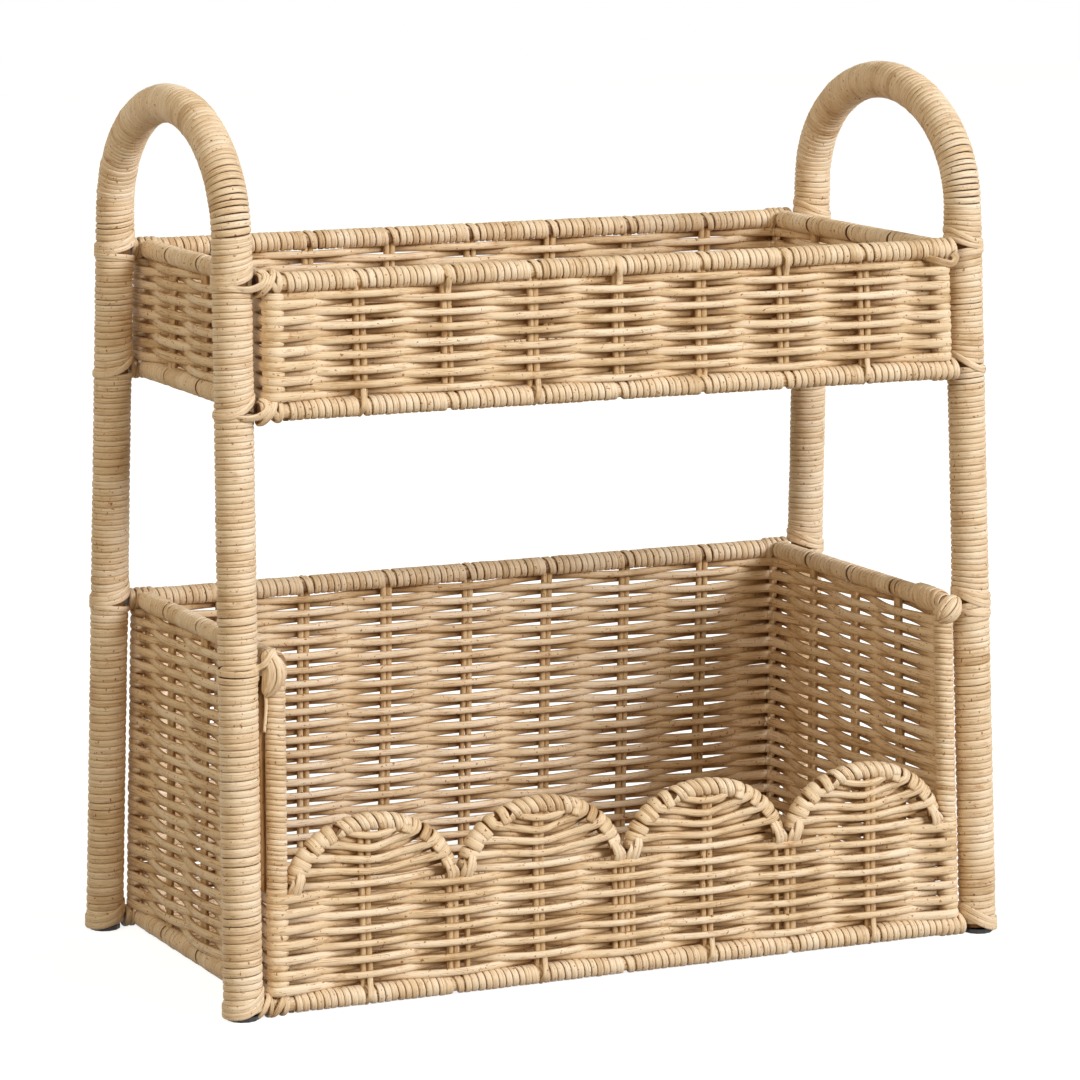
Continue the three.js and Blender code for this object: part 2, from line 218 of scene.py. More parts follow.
def smooth_line(points, count=24):
    """A line through a few points: each stretch is the cubic whose slope at a point is half the
    step from the point before to the point after."""
    p = np.array(points, float)
    p = np.concatenate([[2 * p[0] - p[1]], p, [2 * p[-1] - p[-2]]])
    t = np.linspace(0, len(p) - 3, count)
    i = np.minimum(t.astype(int), len(p) - 4)
    f = (t - i)[:, None]
    a, b, c, d = p[i], p[i + 1], p[i + 2], p[i + 3]
    return b + 0.5 * f * (c - a + f * (2 * a - 5 * b + 4 * c - d + f * (3 * b - a - 3 * c + d)))


print("points round a reed:", len(REED), "and round a strip of peel:", len(DOUBLE_PEEL))

# %% Join strands into one piece
UV_LENGTH = 100.0
UV_SHIFT = 50.0


def mesh_arrays(strands):
    """Points, faces, UVs, tones and painted shade of all the strands, as whole arrays. Each strand
    is a grid of rings, closed end to end or capped with a flat face at either end. Along a strand
    one unit of UV is UV_LENGTH, and each starts somewhere else, so that no two show the same noise."""
    points, quads, caps, quad_uv, cap_uv, tones, painted_shades, first = [], [], [], [], [], [], [], 0
    for grid, closed, tone, shelter in strands:
        rings, sides = grid.shape[:2]
        number = np.arange(rings * sides).reshape(rings, sides) + first
        step = np.linalg.norm(np.diff(grid.mean(1), axis=0, append=grid[:1].mean(1)), axis=1)
        along = np.concatenate([[0], np.cumsum(step)]) / UV_LENGTH + rng.uniform(0, UV_SHIFT)
        last = rings if closed else rings - 1
        here = number[:last]
        ahead = np.roll(number, -1, 0)[:last]
        faces = np.stack([here, np.roll(here, -1, 1), np.roll(ahead, -1, 1), ahead], -1)
        u = np.stack([along[:last], along[:last], along[1:last + 1], along[1:last + 1]], -1)
        v = np.stack([np.arange(sides), np.arange(sides) + 1] * 2, -1)[:, [0, 1, 3, 2]] / sides
        uv = np.stack(np.broadcast_arrays(u[:, None, :], v[None, :, :]), -1)
        quads.append(faces.reshape(-1, 4))
        quad_uv.append(uv.reshape(-1, 2))
        if not closed:
            caps += [number[0, ::-1], number[-1]]
            cap_uv += [np.full((sides, 2), along[0]), np.full((sides, 2), along[-2])]
        points.append(grid.reshape(-1, 3))
        tones.append(np.repeat(tone, sides))
        painted_shades.append(shelter.ravel())
        first += rings * sides
    return points, quads, caps, quad_uv + cap_uv, tones, painted_shades


def add_piece(name, strands, material, slot, *nodes):
    """One mesh of many strands, riding on the root and standing for the named CAD nodes."""
    points, quads, caps, uvs, tones, painted_shades = mesh_arrays(strands)
    faces = np.concatenate(quads).tolist() + [cap.tolist() for cap in caps]
    mesh = bpy.data.meshes.new(name)
    mesh.from_pydata(np.concatenate(points) * MM, [], faces)
    layer = mesh.uv_layers.new(name="along")
    layer.data.foreach_set("uv", np.concatenate(uvs).astype(np.float32).ravel())
    # The second attribute is painted shade: how dark each point is painted where it lies deep.
    for title, values in (("tone", tones), ("shelter", painted_shades)):
        shade = mesh.attributes.new(title, "FLOAT", "POINT")
        shade.data.foreach_set("value", np.concatenate(values).astype(np.float32))
    smooth = np.ones(len(faces), bool)
    smooth[len(faces) - len(caps):] = False
    mesh.polygons.foreach_set("use_smooth", smooth)
    mesh.materials.append(material)
    mesh.update()
    piece = bpy.data.objects.new(name, mesh)
    bpy.context.scene.collection.objects.link(piece)
    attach(piece, "root")
    if nodes:
        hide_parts(*nodes)
    triangles = 2 * sum(len(q) for q in quads) + sum(len(c) - 2 for c in caps)
    print(f"{name}: {len(strands)} strands, {triangles} triangles")


# %% [markdown]
# ## Natural cane
#
# Peeled cane is cream to straw coloured, with long pale and brown fibres, fine dark lines, soft
# blotches, small dark specks and a satin skin. Patterns of noise stay sharp at any size: stretched
# along the strand they give the fibres, and evenly they give blotches and specks. The tone
# attribute moves each strand between pale and brown. A second attribute paints shade into the deep
# places between strands, where little light comes, and colours round the outline paint shade along
# the edges of each strand and in a strip's groove.

# %% Helpers for shader nodes
def add_node(tree, kind, inputs=None, **settings):
    """One shader node with its settings, and with its inputs linked or set."""
    made = tree.nodes.new(kind)
    for key, value in settings.items():
        setattr(made, key, value)
    for key, value in (inputs or {}).items():
        if isinstance(value, bpy.types.NodeSocket):
            tree.links.new(value, made.inputs[key])
        else:
            made.inputs[key].default_value = value
    return made


def empty_tree(owner):
    """The shader nodes of a material or world, all cleared away."""
    owner.use_nodes = True
    owner.node_tree.nodes.clear()
    return owner.node_tree


def ramp(tree, factor, stops):
    """A colour ramp with the given places and colours."""
    made = add_node(tree, "ShaderNodeValToRGB", {"Fac": factor})
    elements = made.color_ramp.elements
    while len(elements) < len(stops):
        elements.new(0.5)
    for element, (place, colour) in zip(elements, stops):
        element.position = place
        element.color = (*colour, 1)
    return made.outputs["Color"]


def calculated(tree, how, first, second, **settings):
    """The result of one step of arithmetic."""
    made = add_node(tree, "ShaderNodeMath", {0: first, 1: second}, operation=how, **settings)
    return made.outputs[0]


def multiplied(tree, factor, first, second):
    """Two colours multiplied, as far as the factor says."""
    return add_node(tree, "ShaderNodeMix", {0: factor, 6: first, 7: second}, data_type="RGBA",
                    blend_type="MULTIPLY").outputs[2]


def noise(tree, place, pattern, stretch=None):
    """A pattern of noise in space, or over the strand's own UV map where it has a stretch."""
    where = place.outputs["Object"]
    if stretch:
        where = add_node(tree, "ShaderNodeMapping", {
            "Vector": place.outputs["UV"], "Scale": stretch}).outputs["Vector"]
    return add_node(tree, "ShaderNodeTexNoise", {"Vector": where, **pattern}).outputs["Fac"]


def around_zero(tree, pattern, strength):
    """A pattern moved so that its middle is 0, and strengthened."""
    return calculated(tree, "MULTIPLY", calculated(tree, "SUBTRACT", pattern, 0.5), strength)


# %% The patterns of cane
FIBRES, FIBRE_STRETCH = {"Scale": 2.2, "Detail": 7.0, "Roughness": 0.75}, (3.0, 6.0, 1.0)
LINES, LINE_STRETCH = {"Scale": 1.5, "Detail": 1.0}, (2.4, 9.0, 1.0)
STAINS, STAIN_STRETCH = {"Scale": 1.0, "Detail": 6.0, "Roughness": 0.7}, (6.0, 1.2, 1.0)
BLOTCHES = {"Scale": 42.0, "Detail": 3.0}
SPECKS = {"Scale": 520.0, "Detail": 2.0}
FIBRE_STRENGTH, BLOTCH_STRENGTH = 1.3, 1.1
FIBRE_HEIGHT = 0.0006
SHINE = 0.35
PLAIN = (1.0, 1.0, 1.0)
FINE_LINE = (0.6, 0.44, 0.28)
SPECK = (0.42, 0.24, 0.12)
STAIN = (0.66, 0.46, 0.29)
FAINT = (0.5, 0.5, 0.5)
SPECK_COLOURS = [(0.0, SPECK), (0.28, SPECK), (0.34, PLAIN)]
STAIN_COLOURS = [(0.6, PLAIN), (0.72, STAIN)]
LINE_COLOURS = [(0.475, PLAIN), (0.5, FINE_LINE), (0.525, PLAIN)]
# Painted shade round the outline is fainter where the stains pattern is low.
PAINTED_CREASE_STRENGTH = [(0.4, FAINT), (0.56, PLAIN)]
# Painted shade: colours multiplied in by the painted-shade attribute, near black where a strand
# lies deepest.
PAINTED_SHADE_COLOURS = [(0.0, PLAIN), (0.4, (0.9, 0.82, 0.68)), (0.75, (0.4, 0.26, 0.14)),
          (1.0, (0.08, 0.04, 0.014))]
print("patterns along the strand are stretched by", FIBRE_STRETCH, LINE_STRETCH, STAIN_STRETCH)


# %% The cane materials
def cane_material(name, shades, fibre_bump, roughness, painted_creases):
    """Cane between three shades, with fibres and fine dark lines along the strand, stains, blotches
    and specks. The colours given round the outline are multiplied in: painted shade along the edges
    and in a strip's groove. Painted shade is also multiplied in where a strand lies deep."""
    material = bpy.data.materials.new(name)
    tree = empty_tree(material)
    place = add_node(tree, "ShaderNodeTexCoord")
    around = add_node(tree, "ShaderNodeSeparateXYZ", {0: place.outputs["UV"]}).outputs["Y"]
    tone = add_node(tree, "ShaderNodeAttribute", attribute_name="tone").outputs["Fac"]
    deep = add_node(tree, "ShaderNodeAttribute", attribute_name="shelter").outputs["Fac"]
    fibres = noise(tree, place, FIBRES, FIBRE_STRETCH)
    stains = noise(tree, place, STAINS, STAIN_STRETCH)
    fine_lines = noise(tree, place, LINES, LINE_STRETCH)

    shade = calculated(tree, "ADD", tone, around_zero(tree, fibres, FIBRE_STRENGTH))
    blotches = around_zero(tree, noise(tree, place, BLOTCHES), BLOTCH_STRENGTH)
    shade = calculated(tree, "ADD", shade, blotches, use_clamp=True)
    colour = ramp(tree, shade, list(zip((0.0, 0.5, 1.0), shades)))
    for factor, layer in (
        (1.0, ramp(tree, noise(tree, place, SPECKS), SPECK_COLOURS)),
        (1.0, ramp(tree, stains, STAIN_COLOURS)),
        (1.0, ramp(tree, fine_lines, LINE_COLOURS)),
        # Painted shade round the outline, along the edges and in a strip's groove.
        (ramp(tree, stains, PAINTED_CREASE_STRENGTH), ramp(tree, around, painted_creases)),
        # Painted shade where a strand lies deep among its neighbours.
        (1.0, ramp(tree, deep, PAINTED_SHADE_COLOURS)),
    ):
        colour = multiplied(tree, factor, colour, layer)

    bump = add_node(tree, "ShaderNodeBump", {
        "Height": fibres, "Strength": fibre_bump, "Distance": FIBRE_HEIGHT})
    shader = add_node(tree, "ShaderNodeBsdfPrincipled", {
        "Base Color": colour, "Roughness": roughness, "Specular IOR Level": SHINE,
        "Normal": bump.outputs["Normal"]})
    add_node(tree, "ShaderNodeOutputMaterial", {"Surface": shader.outputs["BSDF"]})
    return material


BROWN = (0.46, 0.27, 0.11)
PEEL_SHADES = [(0.94, 0.79, 0.61), (0.83, 0.64, 0.43), BROWN]
REED_SHADES = [(0.93, 0.77, 0.58), (0.81, 0.615, 0.395), BROWN]
CORE_SHADES = [(0.36, 0.22, 0.1), (0.24, 0.14, 0.06), (0.12, 0.06, 0.02)]
# Painted shade round the outline: dark along both edges and the underside of a strip of peel,
# lighter in its groove, and darker along both edges of a reed.
PAINTED_CREASE_SHADE = (0.22, 0.11, 0.045)
PAINTED_GROOVE_SHADE = (0.8, 0.69, 0.54)
PAINTED_EDGE_SHADE = (0.52, 0.37, 0.23)
PEEL_PAINTED_CREASES = [(0.0, PAINTED_CREASE_SHADE), (0.07, PLAIN), (0.3, PLAIN), (0.33, PAINTED_GROOVE_SHADE), (0.36, PLAIN),
                (0.6, PLAIN), (0.67, PAINTED_CREASE_SHADE)]
REED_PAINTED_EDGES = [(0.0, PAINTED_EDGE_SHADE), (0.1, PLAIN), (0.4, PLAIN), (0.5, PAINTED_EDGE_SHADE), (0.6, PLAIN), (0.9, PLAIN),
              (1.0, PAINTED_EDGE_SHADE)]
NO_PAINTED_CREASES = [(0.0, PLAIN), (1.0, PLAIN)]
peel_cane = cane_material("peel_cane", PEEL_SHADES, fibre_bump=0.5, roughness=0.5,
                          painted_creases=PEEL_PAINTED_CREASES)
reed_cane = cane_material("reed_cane", REED_SHADES, fibre_bump=0.6, roughness=0.55,
                          painted_creases=REED_PAINTED_EDGES)
core_cane = cane_material("core_cane", CORE_SHADES, fibre_bump=0.4, roughness=0.7,
                          painted_creases=NO_PAINTED_CREASES)
print("materials:", peel_cane.name, reed_cane.name, core_cane.name)

# %% [markdown]
# ## The bound arches
#
# Each arch is one thick pole, closely bound from foot to foot with a narrow strip of peel. The
# binding is a real spiral here, not a pattern: nearly three hundred turns of a slightly arched
# strip. Its turns are wider on the legs than over the handle, no two are quite the same, and a few
# stand a little apart and show the dark pole between them.

# %% Wind a strip round a core
TURN_WANDER = 0.08
TONE_SPREAD = 0.15


def place_on(line, lengths, wanted):
    """Points at the wanted lengths along a dense line."""
    return np.stack([np.interp(wanted, lengths, line[:, i]) for i in range(3)], 1)


def measure(line):
    """Length along a line at each of its points."""
    return np.concatenate([[0], np.cumsum(np.linalg.norm(np.diff(line, axis=0), axis=1))])


def wound_strip(line, aside, centres, widths, core_radius, thickness, outline, steps,
                tone_middle, part=None):
    """A strip wound on a core. Turn k passes the core at centres[k]. Between whole turns the place
    along the core moves on evenly while the angle goes round once: point = core + radius *
    (cos(angle) aside + sin(angle) other side). part can push the turns along the core."""
    turns = len(centres) - 1
    lengths = measure(line)
    t = np.linspace(0, turns, turns * steps + 1)
    whole = np.arange(turns + 1)
    s = np.interp(t, whole, centres)
    width = np.interp(t, whole, widths)
    ahead = unit(place_on(line, lengths, s + 0.5) - place_on(line, lengths, s - 0.5))
    first = unit(aside - (ahead @ aside)[:, None] * ahead)
    second = np.cross(ahead, first)
    radial = np.cos(2 * np.pi * t)[:, None] * first + np.sin(2 * np.pi * t)[:, None] * second
    wander = rng.normal(0, TURN_WANDER, turns + 1)
    radius = core_radius + thickness / 2 + np.interp(t, whole, wander)
    if part is not None:
        push, narrow, lift = part(s, radial)
        s, width, radius = s + push, width * narrow, radius + lift
    tones = some_tone(tone_middle, TONE_SPREAD, turns + 1)
    return strand(place_on(line, lengths, s) + radial * radius[:, None], radial, width, thickness,
                  outline, np.interp(t, whole, tones))


def slanted(amount, axis, lift=0.0):
    """What part has to be for turns that slant: pushed on where they lie towards +axis and back
    on the other side. lift raises them towards +x."""
    return lambda s, radial: (amount * radial[:, axis], 1 + 0 * s, lift * radial[:, 0])


# %% The turns of a binding
LEG_POINTS, ARCH_POINTS = 120, 161
HANDLE_PITCH, LEGS_WIDER, HANDLE_SHARE = 3.1, 1.0, 0.42
UNEVEN = 0.25
LOOSE_SHARE, LOOSE_GAP = 0.04, (0.3, 0.7)
BINDING_CLEAR = 0.3


def arch_line(side):
    """Foot to foot: a straight leg, half an ellipse, the other leg."""
    leg_z = np.linspace(POLE_FOOT_Z, SPRING_Z, LEG_POINTS)
    angle = np.linspace(np.pi, 0, ARCH_POINTS)[1:-1]
    y = np.concatenate([-post_y(leg_z), post_y(SPRING_Z) * np.cos(angle), post_y(leg_z)[::-1]])
    z = np.concatenate([leg_z, SPRING_Z + ARCH_RISE * np.sin(angle), leg_z[::-1]])
    return np.stack([side * post_x(z), y, z], 1)


def binding_turns(anchors, pitch_at):
    """Places and widths of turns: a whole number between two anchors, each a little wider or
    narrower than the next. The step between two is half of one width and half of the other, so
    that they lie edge to edge. A few are narrower and leave a gap."""
    centres, widths = [anchors[:1]], [pitch_at(anchors[:1])]
    for low, high in zip(anchors[:-1], anchors[1:]):
        count = max(1, round((high - low) / pitch_at((low + high) / 2)))
        width = pitch_at(np.linspace(low, high, count + 1))
        width = width * rng.uniform(1 - UNEVEN, 1 + UNEVEN, count + 1)
        width[0] = widths[-1][-1]
        step = (width[:-1] + width[1:]) / 2
        fit = (high - low) / step.sum()
        loose = np.where(rng.random(count) < LOOSE_SHARE, rng.uniform(*LOOSE_GAP, count), 0.0)
        centres.append(low + np.cumsum(step * fit))
        widths.append(width[1:] * fit - loose)
    return np.concatenate(centres), np.concatenate(widths)


def pole_pitch(total):
    """Turns that are wider at the feet and narrow towards the handle: pitch = handle pitch + how
    much wider * (distance from the middle of the pole / its share)^2, up to 1."""
    return lambda s: HANDLE_PITCH + LEGS_WIDER * np.minimum(
        1.0, np.abs(s / total - 0.5) / HANDLE_SHARE) ** 2


def rail_reach(z):
    """Where a long rail ends, just short of the leg."""
    return post_x(z + RAIL_RADIUS) - POLE_RADIUS - BINDING_CLEAR


print("length of a pole:", round(measure(arch_line(1))[-1], 1))

# %% Make way for the rails
NARROWEST, CROWD_LIFT = 0.62, 0.12
JOINT_SHARP, JOINT_REACH = 2.0, 13.0
OPEN_SHARP, OPEN_REACH, OPEN_DROP = 0.0, 8.0, 4.4
ROOM = {"top": (5.6, 2.0), "bottom": (5.0, 0.4), "foot": (1.0, 0.0), "open": (2.0, 2.0)}


def parting(joints):
    """Turns make way for the rails: push = room * ((1 + cos(angle to the inside)) / 2)^sharp *
    e^(-distance / reach), away from the rail, with a room for the turns before a joint and one
    for those after it. Where the turns crowd they narrow and ride up."""
    def part(s, radial):
        push, narrow, lift = 0 * s, 1 + 0 * s, 0 * s
        for place, inward, before, after, sharp, reach in joints:
            near = ((1 + inward * radial[:, 0]) / 2) ** sharp * np.exp(-np.abs(s - place) / reach)
            room = np.where(s < place, before, after)
            push = push + np.sign(s - place) * room * near
            narrow = narrow - room * near / reach
            lift = lift + CROWD_LIFT * room * near
        return push, np.maximum(narrow, NARROWEST), lift
    return part


def leg_joints(side, line, lengths):
    """Where the rails meet both legs of an arch, with the room above and below. At the open front
    the left leg has room all round, because its knot is tied on there."""
    total = lengths[-1]
    joints = []
    for tier, level, z, y in levels:
        at_foot = z < POLE_RADIUS
        up_leg = 0.0
        if not at_foot:
            up_leg = float(np.interp(z, line[:LEG_POINTS, 2], lengths[:LEG_POINTS]))
        above, below = ROOM["foot" if at_foot else level]
        joints.append((total - up_leg, -side, above, below, JOINT_SHARP, JOINT_REACH))
        if tier is basket and level == "top" and side < 0:
            above, below = ROOM["open"]
            joints.append((up_leg - OPEN_DROP, -side, below, above, OPEN_SHARP, OPEN_REACH))
        else:
            joints.append((up_leg, -side, below, above, JOINT_SHARP, JOINT_REACH))
    return joints


print("joints of one arch:", 2 * len(levels))

# %% Bind both arches
BINDING_THICKNESS = 1.7
STRIP_START = 0.8
POLE_STEPS, POLE_TONE = 20, 0.36
for side in (-1, 1):
    line = arch_line(side)
    lengths = measure(line)
    total = lengths[-1]
    joints = leg_joints(side, line, lengths)
    anchors = np.array(sorted([STRIP_START, total - STRIP_START]
                              + [joint[0] for joint in joints if 0 < joint[0] < total]))
    centres, widths = binding_turns(anchors, pole_pitch(total))
    aside = unit(np.array([side, 0, POST_LEAN_IN]))
    coil = wound_strip(line, aside, centres, widths, POLE_RADIUS - BINDING_THICKNESS,
                       BINDING_THICKNESS, FLAT_PEEL, POLE_STEPS, POLE_TONE, parting(joints))
    add_piece(f"arch_binding_{side_name[side]}_strip", [coil], peel_cane, "cane_binding",
              f"arch_binding_{side_name[side]}")

# %% [markdown]
# ## Rails
#
# A rail is a rod bound with the same peel. At every pair of stakes the binding skips on by two
# widths, and the end of a stake is tied round the rail in the gap that this leaves.

# %% Bind the rails
RAIL_CORE, RAIL_PEEL = 4.0, 1.3
RAIL_PITCH, RAIL_WANDER, RAIL_FILLED = 3.7, 0.3, 0.92
LONG_STEP, LONG_WIDTH = 1.4, 1.25
RAIL_STEPS, RAIL_TONE = 14, 0.38
UNDER = np.array([0.0, 0.0, -1.0])
TIE_GAP = 7.2
END_TIE = 5.5
RAIL_CLEAR = 0.3


def rail_turns(start, stop, stakes):
    """Centres of the turns between the stakes' gaps, with a whole number of turns to a bay."""
    edges = [start, *[x for x in stakes if start < x < stop], stop]
    centres = []
    for i, (left, right) in enumerate(zip(edges[:-1], edges[1:])):
        low = left + (TIE_GAP / 2 if i > 0 else RAIL_PITCH / 2)
        high = right - (TIE_GAP / 2 if i < len(edges) - 2 else RAIL_PITCH / 2)
        count = max(1, round((high - low) / RAIL_PITCH))
        wander = rng.uniform(-RAIL_WANDER, RAIL_WANDER, count + 1)
        wander[[0, -1]] = 0
        centres.append(np.linspace(low, high, count + 1) + wander)
    return np.concatenate(centres)


def bound_rail(start, stop, outward, bound_from, bound_to, stakes):
    """A rod from start to stop with its binding, which takes one long slanting turn at each pair
    of stakes. Both ends of the binding lie under the rod."""
    start, stop = np.array(start, float), np.array(stop, float)
    line = start + np.linspace(0, 1, 60)[:, None] * (stop - start)
    centres = rail_turns(bound_from, bound_to, stakes)
    step = np.diff(centres)
    widths = np.where(step > LONG_STEP * RAIL_PITCH, LONG_WIDTH * RAIL_PITCH, step * RAIL_FILLED)
    # The rod gets a little painted shade, as it lies under its binding.
    rod = strand(line, np.array(outward, float), width=2 * RAIL_CORE, depth=2 * RAIL_CORE,
                 outline=reed_outline(12), tone=0.3, shelter=0.3)
    return [rod, wound_strip(line, UNDER, centres, np.append(widths, RAIL_PITCH), RAIL_CORE,
                             RAIL_PEEL, DOUBLE_PEEL, RAIL_STEPS, RAIL_TONE)]


for tier, level, z, y in levels:
    open_front = tier is basket and level == "top"
    for end in (-1, 1):
        if open_front and end < 0:
            continue
        reach = rail_reach(z)
        strands = bound_rail((-reach, end * y, z), (reach, end * y, z), (0, end, 0),
                             reach - tier.x + END_TIE, reach + tier.x - END_TIE,
                             reach + long_stakes[tier.name])
        name = f"{tier.name}_{level}_rail_{end_name[end]}"
        add_piece(name + "_bound", strands, peel_cane, "cane_binding", name)
    for side in (-1, 1):
        front = -y - RAIL_RADIUS if open_front else -y + RAIL_RADIUS + RAIL_CLEAR
        back = y - RAIL_RADIUS - RAIL_CLEAR
        stakes = y * (2 * np.arange(1, SIDE_BAYS) / SIDE_BAYS - 1) - front
        x = side * tier.side_x(z)
        strands = bound_rail((x, front, z), (x, back, z), (side, 0, 0),
                             RAIL_CLEAR, back - front - RAIL_CLEAR, stakes)
        name = f"{tier.name}_{level}_rail_{side_name[side]}"
        add_piece(name + "_bound", strands, peel_cane, "cane_binding", name)

# %% [markdown]
# ## Weaving round a tier
#
# A row of weaving goes round the whole box: outside one pair of stakes, inside the next, and the
# other way round on the next row. Seen from above the row follows a rounded rectangle and swings
# out and in between the stakes like a wave. The waves are worked out for whole rows at once. The
# corner rods are stakes too, only thicker, so the swing is wider there.

# %% The plan of a tier
REED_TALL, REED_THICK = 4.4, 3.3
STAKE_RADIUS, STAKE_SHIFT = 1.8, 1.7
CORNER_ROD = 2.4
ROW_TURN = CORNER_ROD + REED_THICK / 2
SWING = 3.6
OPEN_SHADE = 0.27
CORNER_PLACES = [0, LONG_BAYS, LONG_BAYS + SIDE_BAYS, 2 * LONG_BAYS + SIDE_BAYS,
                 2 * LONG_BAYS + 2 * SIDE_BAYS]
STATIONS = CORNER_PLACES[-1]
SIDE_PLACES = [*range(CORNER_PLACES[1] + 1, CORNER_PLACES[2]),
               *range(CORNER_PLACES[3] + 1, CORNER_PLACES[4])]


def painted_shade_at(offset, outline, depth):
    """How much shade is painted on each point of a row: a point is open where it faces out of the
    wall on the wall's outer side or into the basket on its inner side, and painted deep in shade
    where it faces the stakes."""
    beyond = offset[:, None] + outline[:, 1] * depth / 2
    return np.clip(OPEN_SHADE - outline[:, 1] * beyond / (SWING + depth / 2), 0, 1)


def plan_loop(half_x, half_y, r):
    """A rectangle with corners of radius r, from the middle of its front left corner round to
    there again. Also gives the outward directions and where the corners and stakes stand."""
    middles = [(-half_x + r, -half_y + r), (half_x - r, -half_y + r),
               (half_x - r, half_y - r), (-half_x + r, half_y - r), (-half_x + r, -half_y + r)]
    points, outward = [], []
    for (cx, cy), a, b in zip(middles, [225, 270, 360, 450, 540], [270, 360, 450, 540, 585]):
        angle = np.radians(np.linspace(a, b, 9))
        way = np.stack([np.cos(angle), np.sin(angle), 0 * angle], 1)
        outward.append(way)
        points.append(np.array([cx, cy, 0]) + r * way)
    quarter = r * np.pi / 2
    stations, at = [], 0.0
    for half, bays in ((half_x, LONG_BAYS), (half_y, SIDE_BAYS)) * 2:
        stations.append(at)
        stations += [at + quarter / 2 + 2 * half * j / bays - r for j in range(1, bays)]
        at += quarter + 2 * half - 2 * r
    return np.concatenate(points), np.concatenate(outward), np.array(stations + [at]), quarter


print("stakes and corner rods round a tier:", STATIONS)

# %% One woven row
ROUND_OUTSIDE, ROUND_INSIDE = 0.6, 5.0
CORNER_CUT = 0.41
SIDE_SWING, END_SWING = 0.85, 0.5
POINT_STEP = 3.2
ROW_WANDER, SWING_UNEVEN, THICK_UNEVEN = 0.22, (0.94, 1.12), (0.93, 1.07)
PRESSED = 0.07
BROADER_ON_SIDES, BROADER_AT_CORNERS, BROADER_AT_ENDS, END_REACH = 0.14, 0.32, 0.3, 16
ROW_TONE, ROW_TONE_SPREAD = 0.36, 0.17


def slow_wave(s, amount, reach):
    """A slow wave along a row, from a random start: amount * sin(s / reach + start)."""
    return amount * np.sin(s / reach + rng.uniform(0, 6))


def woven_row(tier, z, phase, first=0, last=STATIONS):
    """One row between two stations: offset = swing * half a cosine wave from each station to the
    next, out and in by turns, with a little wander of height and swing from stake to stake. A row
    turns sharply round the outside of the corner rods, or softly past their inside. It is broader
    on the side walls, at the corners and at open ends, where the rows close up."""
    outside = phase == 0
    round_off = ROUND_OUTSIDE if outside else ROUND_INSIDE
    points, outward, stations, quarter = plan_loop(tier.side_x(z), tier.y(z), round_off)
    lengths = measure(points)
    closed = (first, last) == (0, STATIONS)
    count = int((stations[last] - stations[first]) / POINT_STEP)
    s = np.linspace(stations[first], stations[last], count, endpoint=not closed)
    turns = (stations[CORNER_PLACES][:, None] + np.linspace(-0.6, 0.6, 7) * quarter).ravel()
    turns = turns[(turns > stations[first]) & (turns < stations[last])]
    s = np.sort(np.concatenate([s, turns]))

    k = np.clip(np.searchsorted(stations, s, side="right") - 1, 0, STATIONS - 1)
    part = (s - stations[k]) / (stations[k + 1] - stations[k])
    here = (1 + np.cos(np.pi * part)) / 2
    out_or_in = 1 - 2 * ((np.arange(STATIONS + 1) + phase) % 2)
    swing = SWING * rng.uniform(*SWING_UNEVEN, STATIONS + 1) * out_or_in
    swing[SIDE_PLACES] *= SIDE_SWING
    swing[CORNER_PLACES] = CORNER_CUT * round_off + (ROW_TURN if outside else -ROW_TURN)
    wander = rng.normal(0, ROW_WANDER, STATIONS + 1)
    wander[STATIONS] = wander[0]
    if not closed:
        swing[[first, last]] = END_SWING
    offset = swing[k] * here + swing[k + 1] * (1 - here)
    way = unit(place_on(outward, lengths, s % lengths[-1]))
    line = place_on(points, lengths, s % lengths[-1]) + way * offset[:, None]
    line[:, 2] = z + wander[k] * here + wander[k + 1] * (1 - here)

    thick = rng.uniform(*THICK_UNEVEN) * (1 + slow_wave(s, amount=0.05, reach=37))
    on_side = np.interp(s, stations, np.isin(np.arange(STATIONS + 1), SIDE_PLACES))
    at_corner = np.interp(s, stations, np.isin(np.arange(STATIONS + 1), CORNER_PLACES)) ** 2
    broad = (1 - PRESSED * np.minimum(1, (offset / SWING) ** 2) + BROADER_ON_SIDES * on_side
             + BROADER_AT_CORNERS * at_corner)
    if not closed:
        from_end = np.minimum(s - s[0], s[-1] - s)
        broad = broad + BROADER_AT_ENDS * np.exp(-from_end / END_REACH)
    tone = rng.normal(ROW_TONE, ROW_TONE_SPREAD) + slow_wave(s, amount=0.12, reach=61)
    # Painted shade on the row where it lies deep and faces the stakes.
    return strand(line, way, REED_TALL * thick * broad, REED_THICK * thick, REED,
                  np.clip(tone, 0, 1), closed, painted_shade_at(offset, REED, REED_THICK))


print("a row is", REED_TALL, "tall and", REED_THICK, "thick")

# %% Weave both tiers
FRONT_ROWS = 14
ROW_CLEAR = 1.9


def row_height(tier, index):
    """Rows at even heights between the rails."""
    low = tier.bottom_z + RAIL_RADIUS + ROW_CLEAR
    high = tier.top_z - RAIL_RADIUS - ROW_CLEAR
    return low + (high - low) * index / (tier.rows - 1)


def walls(tier_name, *sides):
    """The CAD nodes of a tier's walls on the given sides."""
    return [f"{tier_name}_wall_{side}" for side in sides]


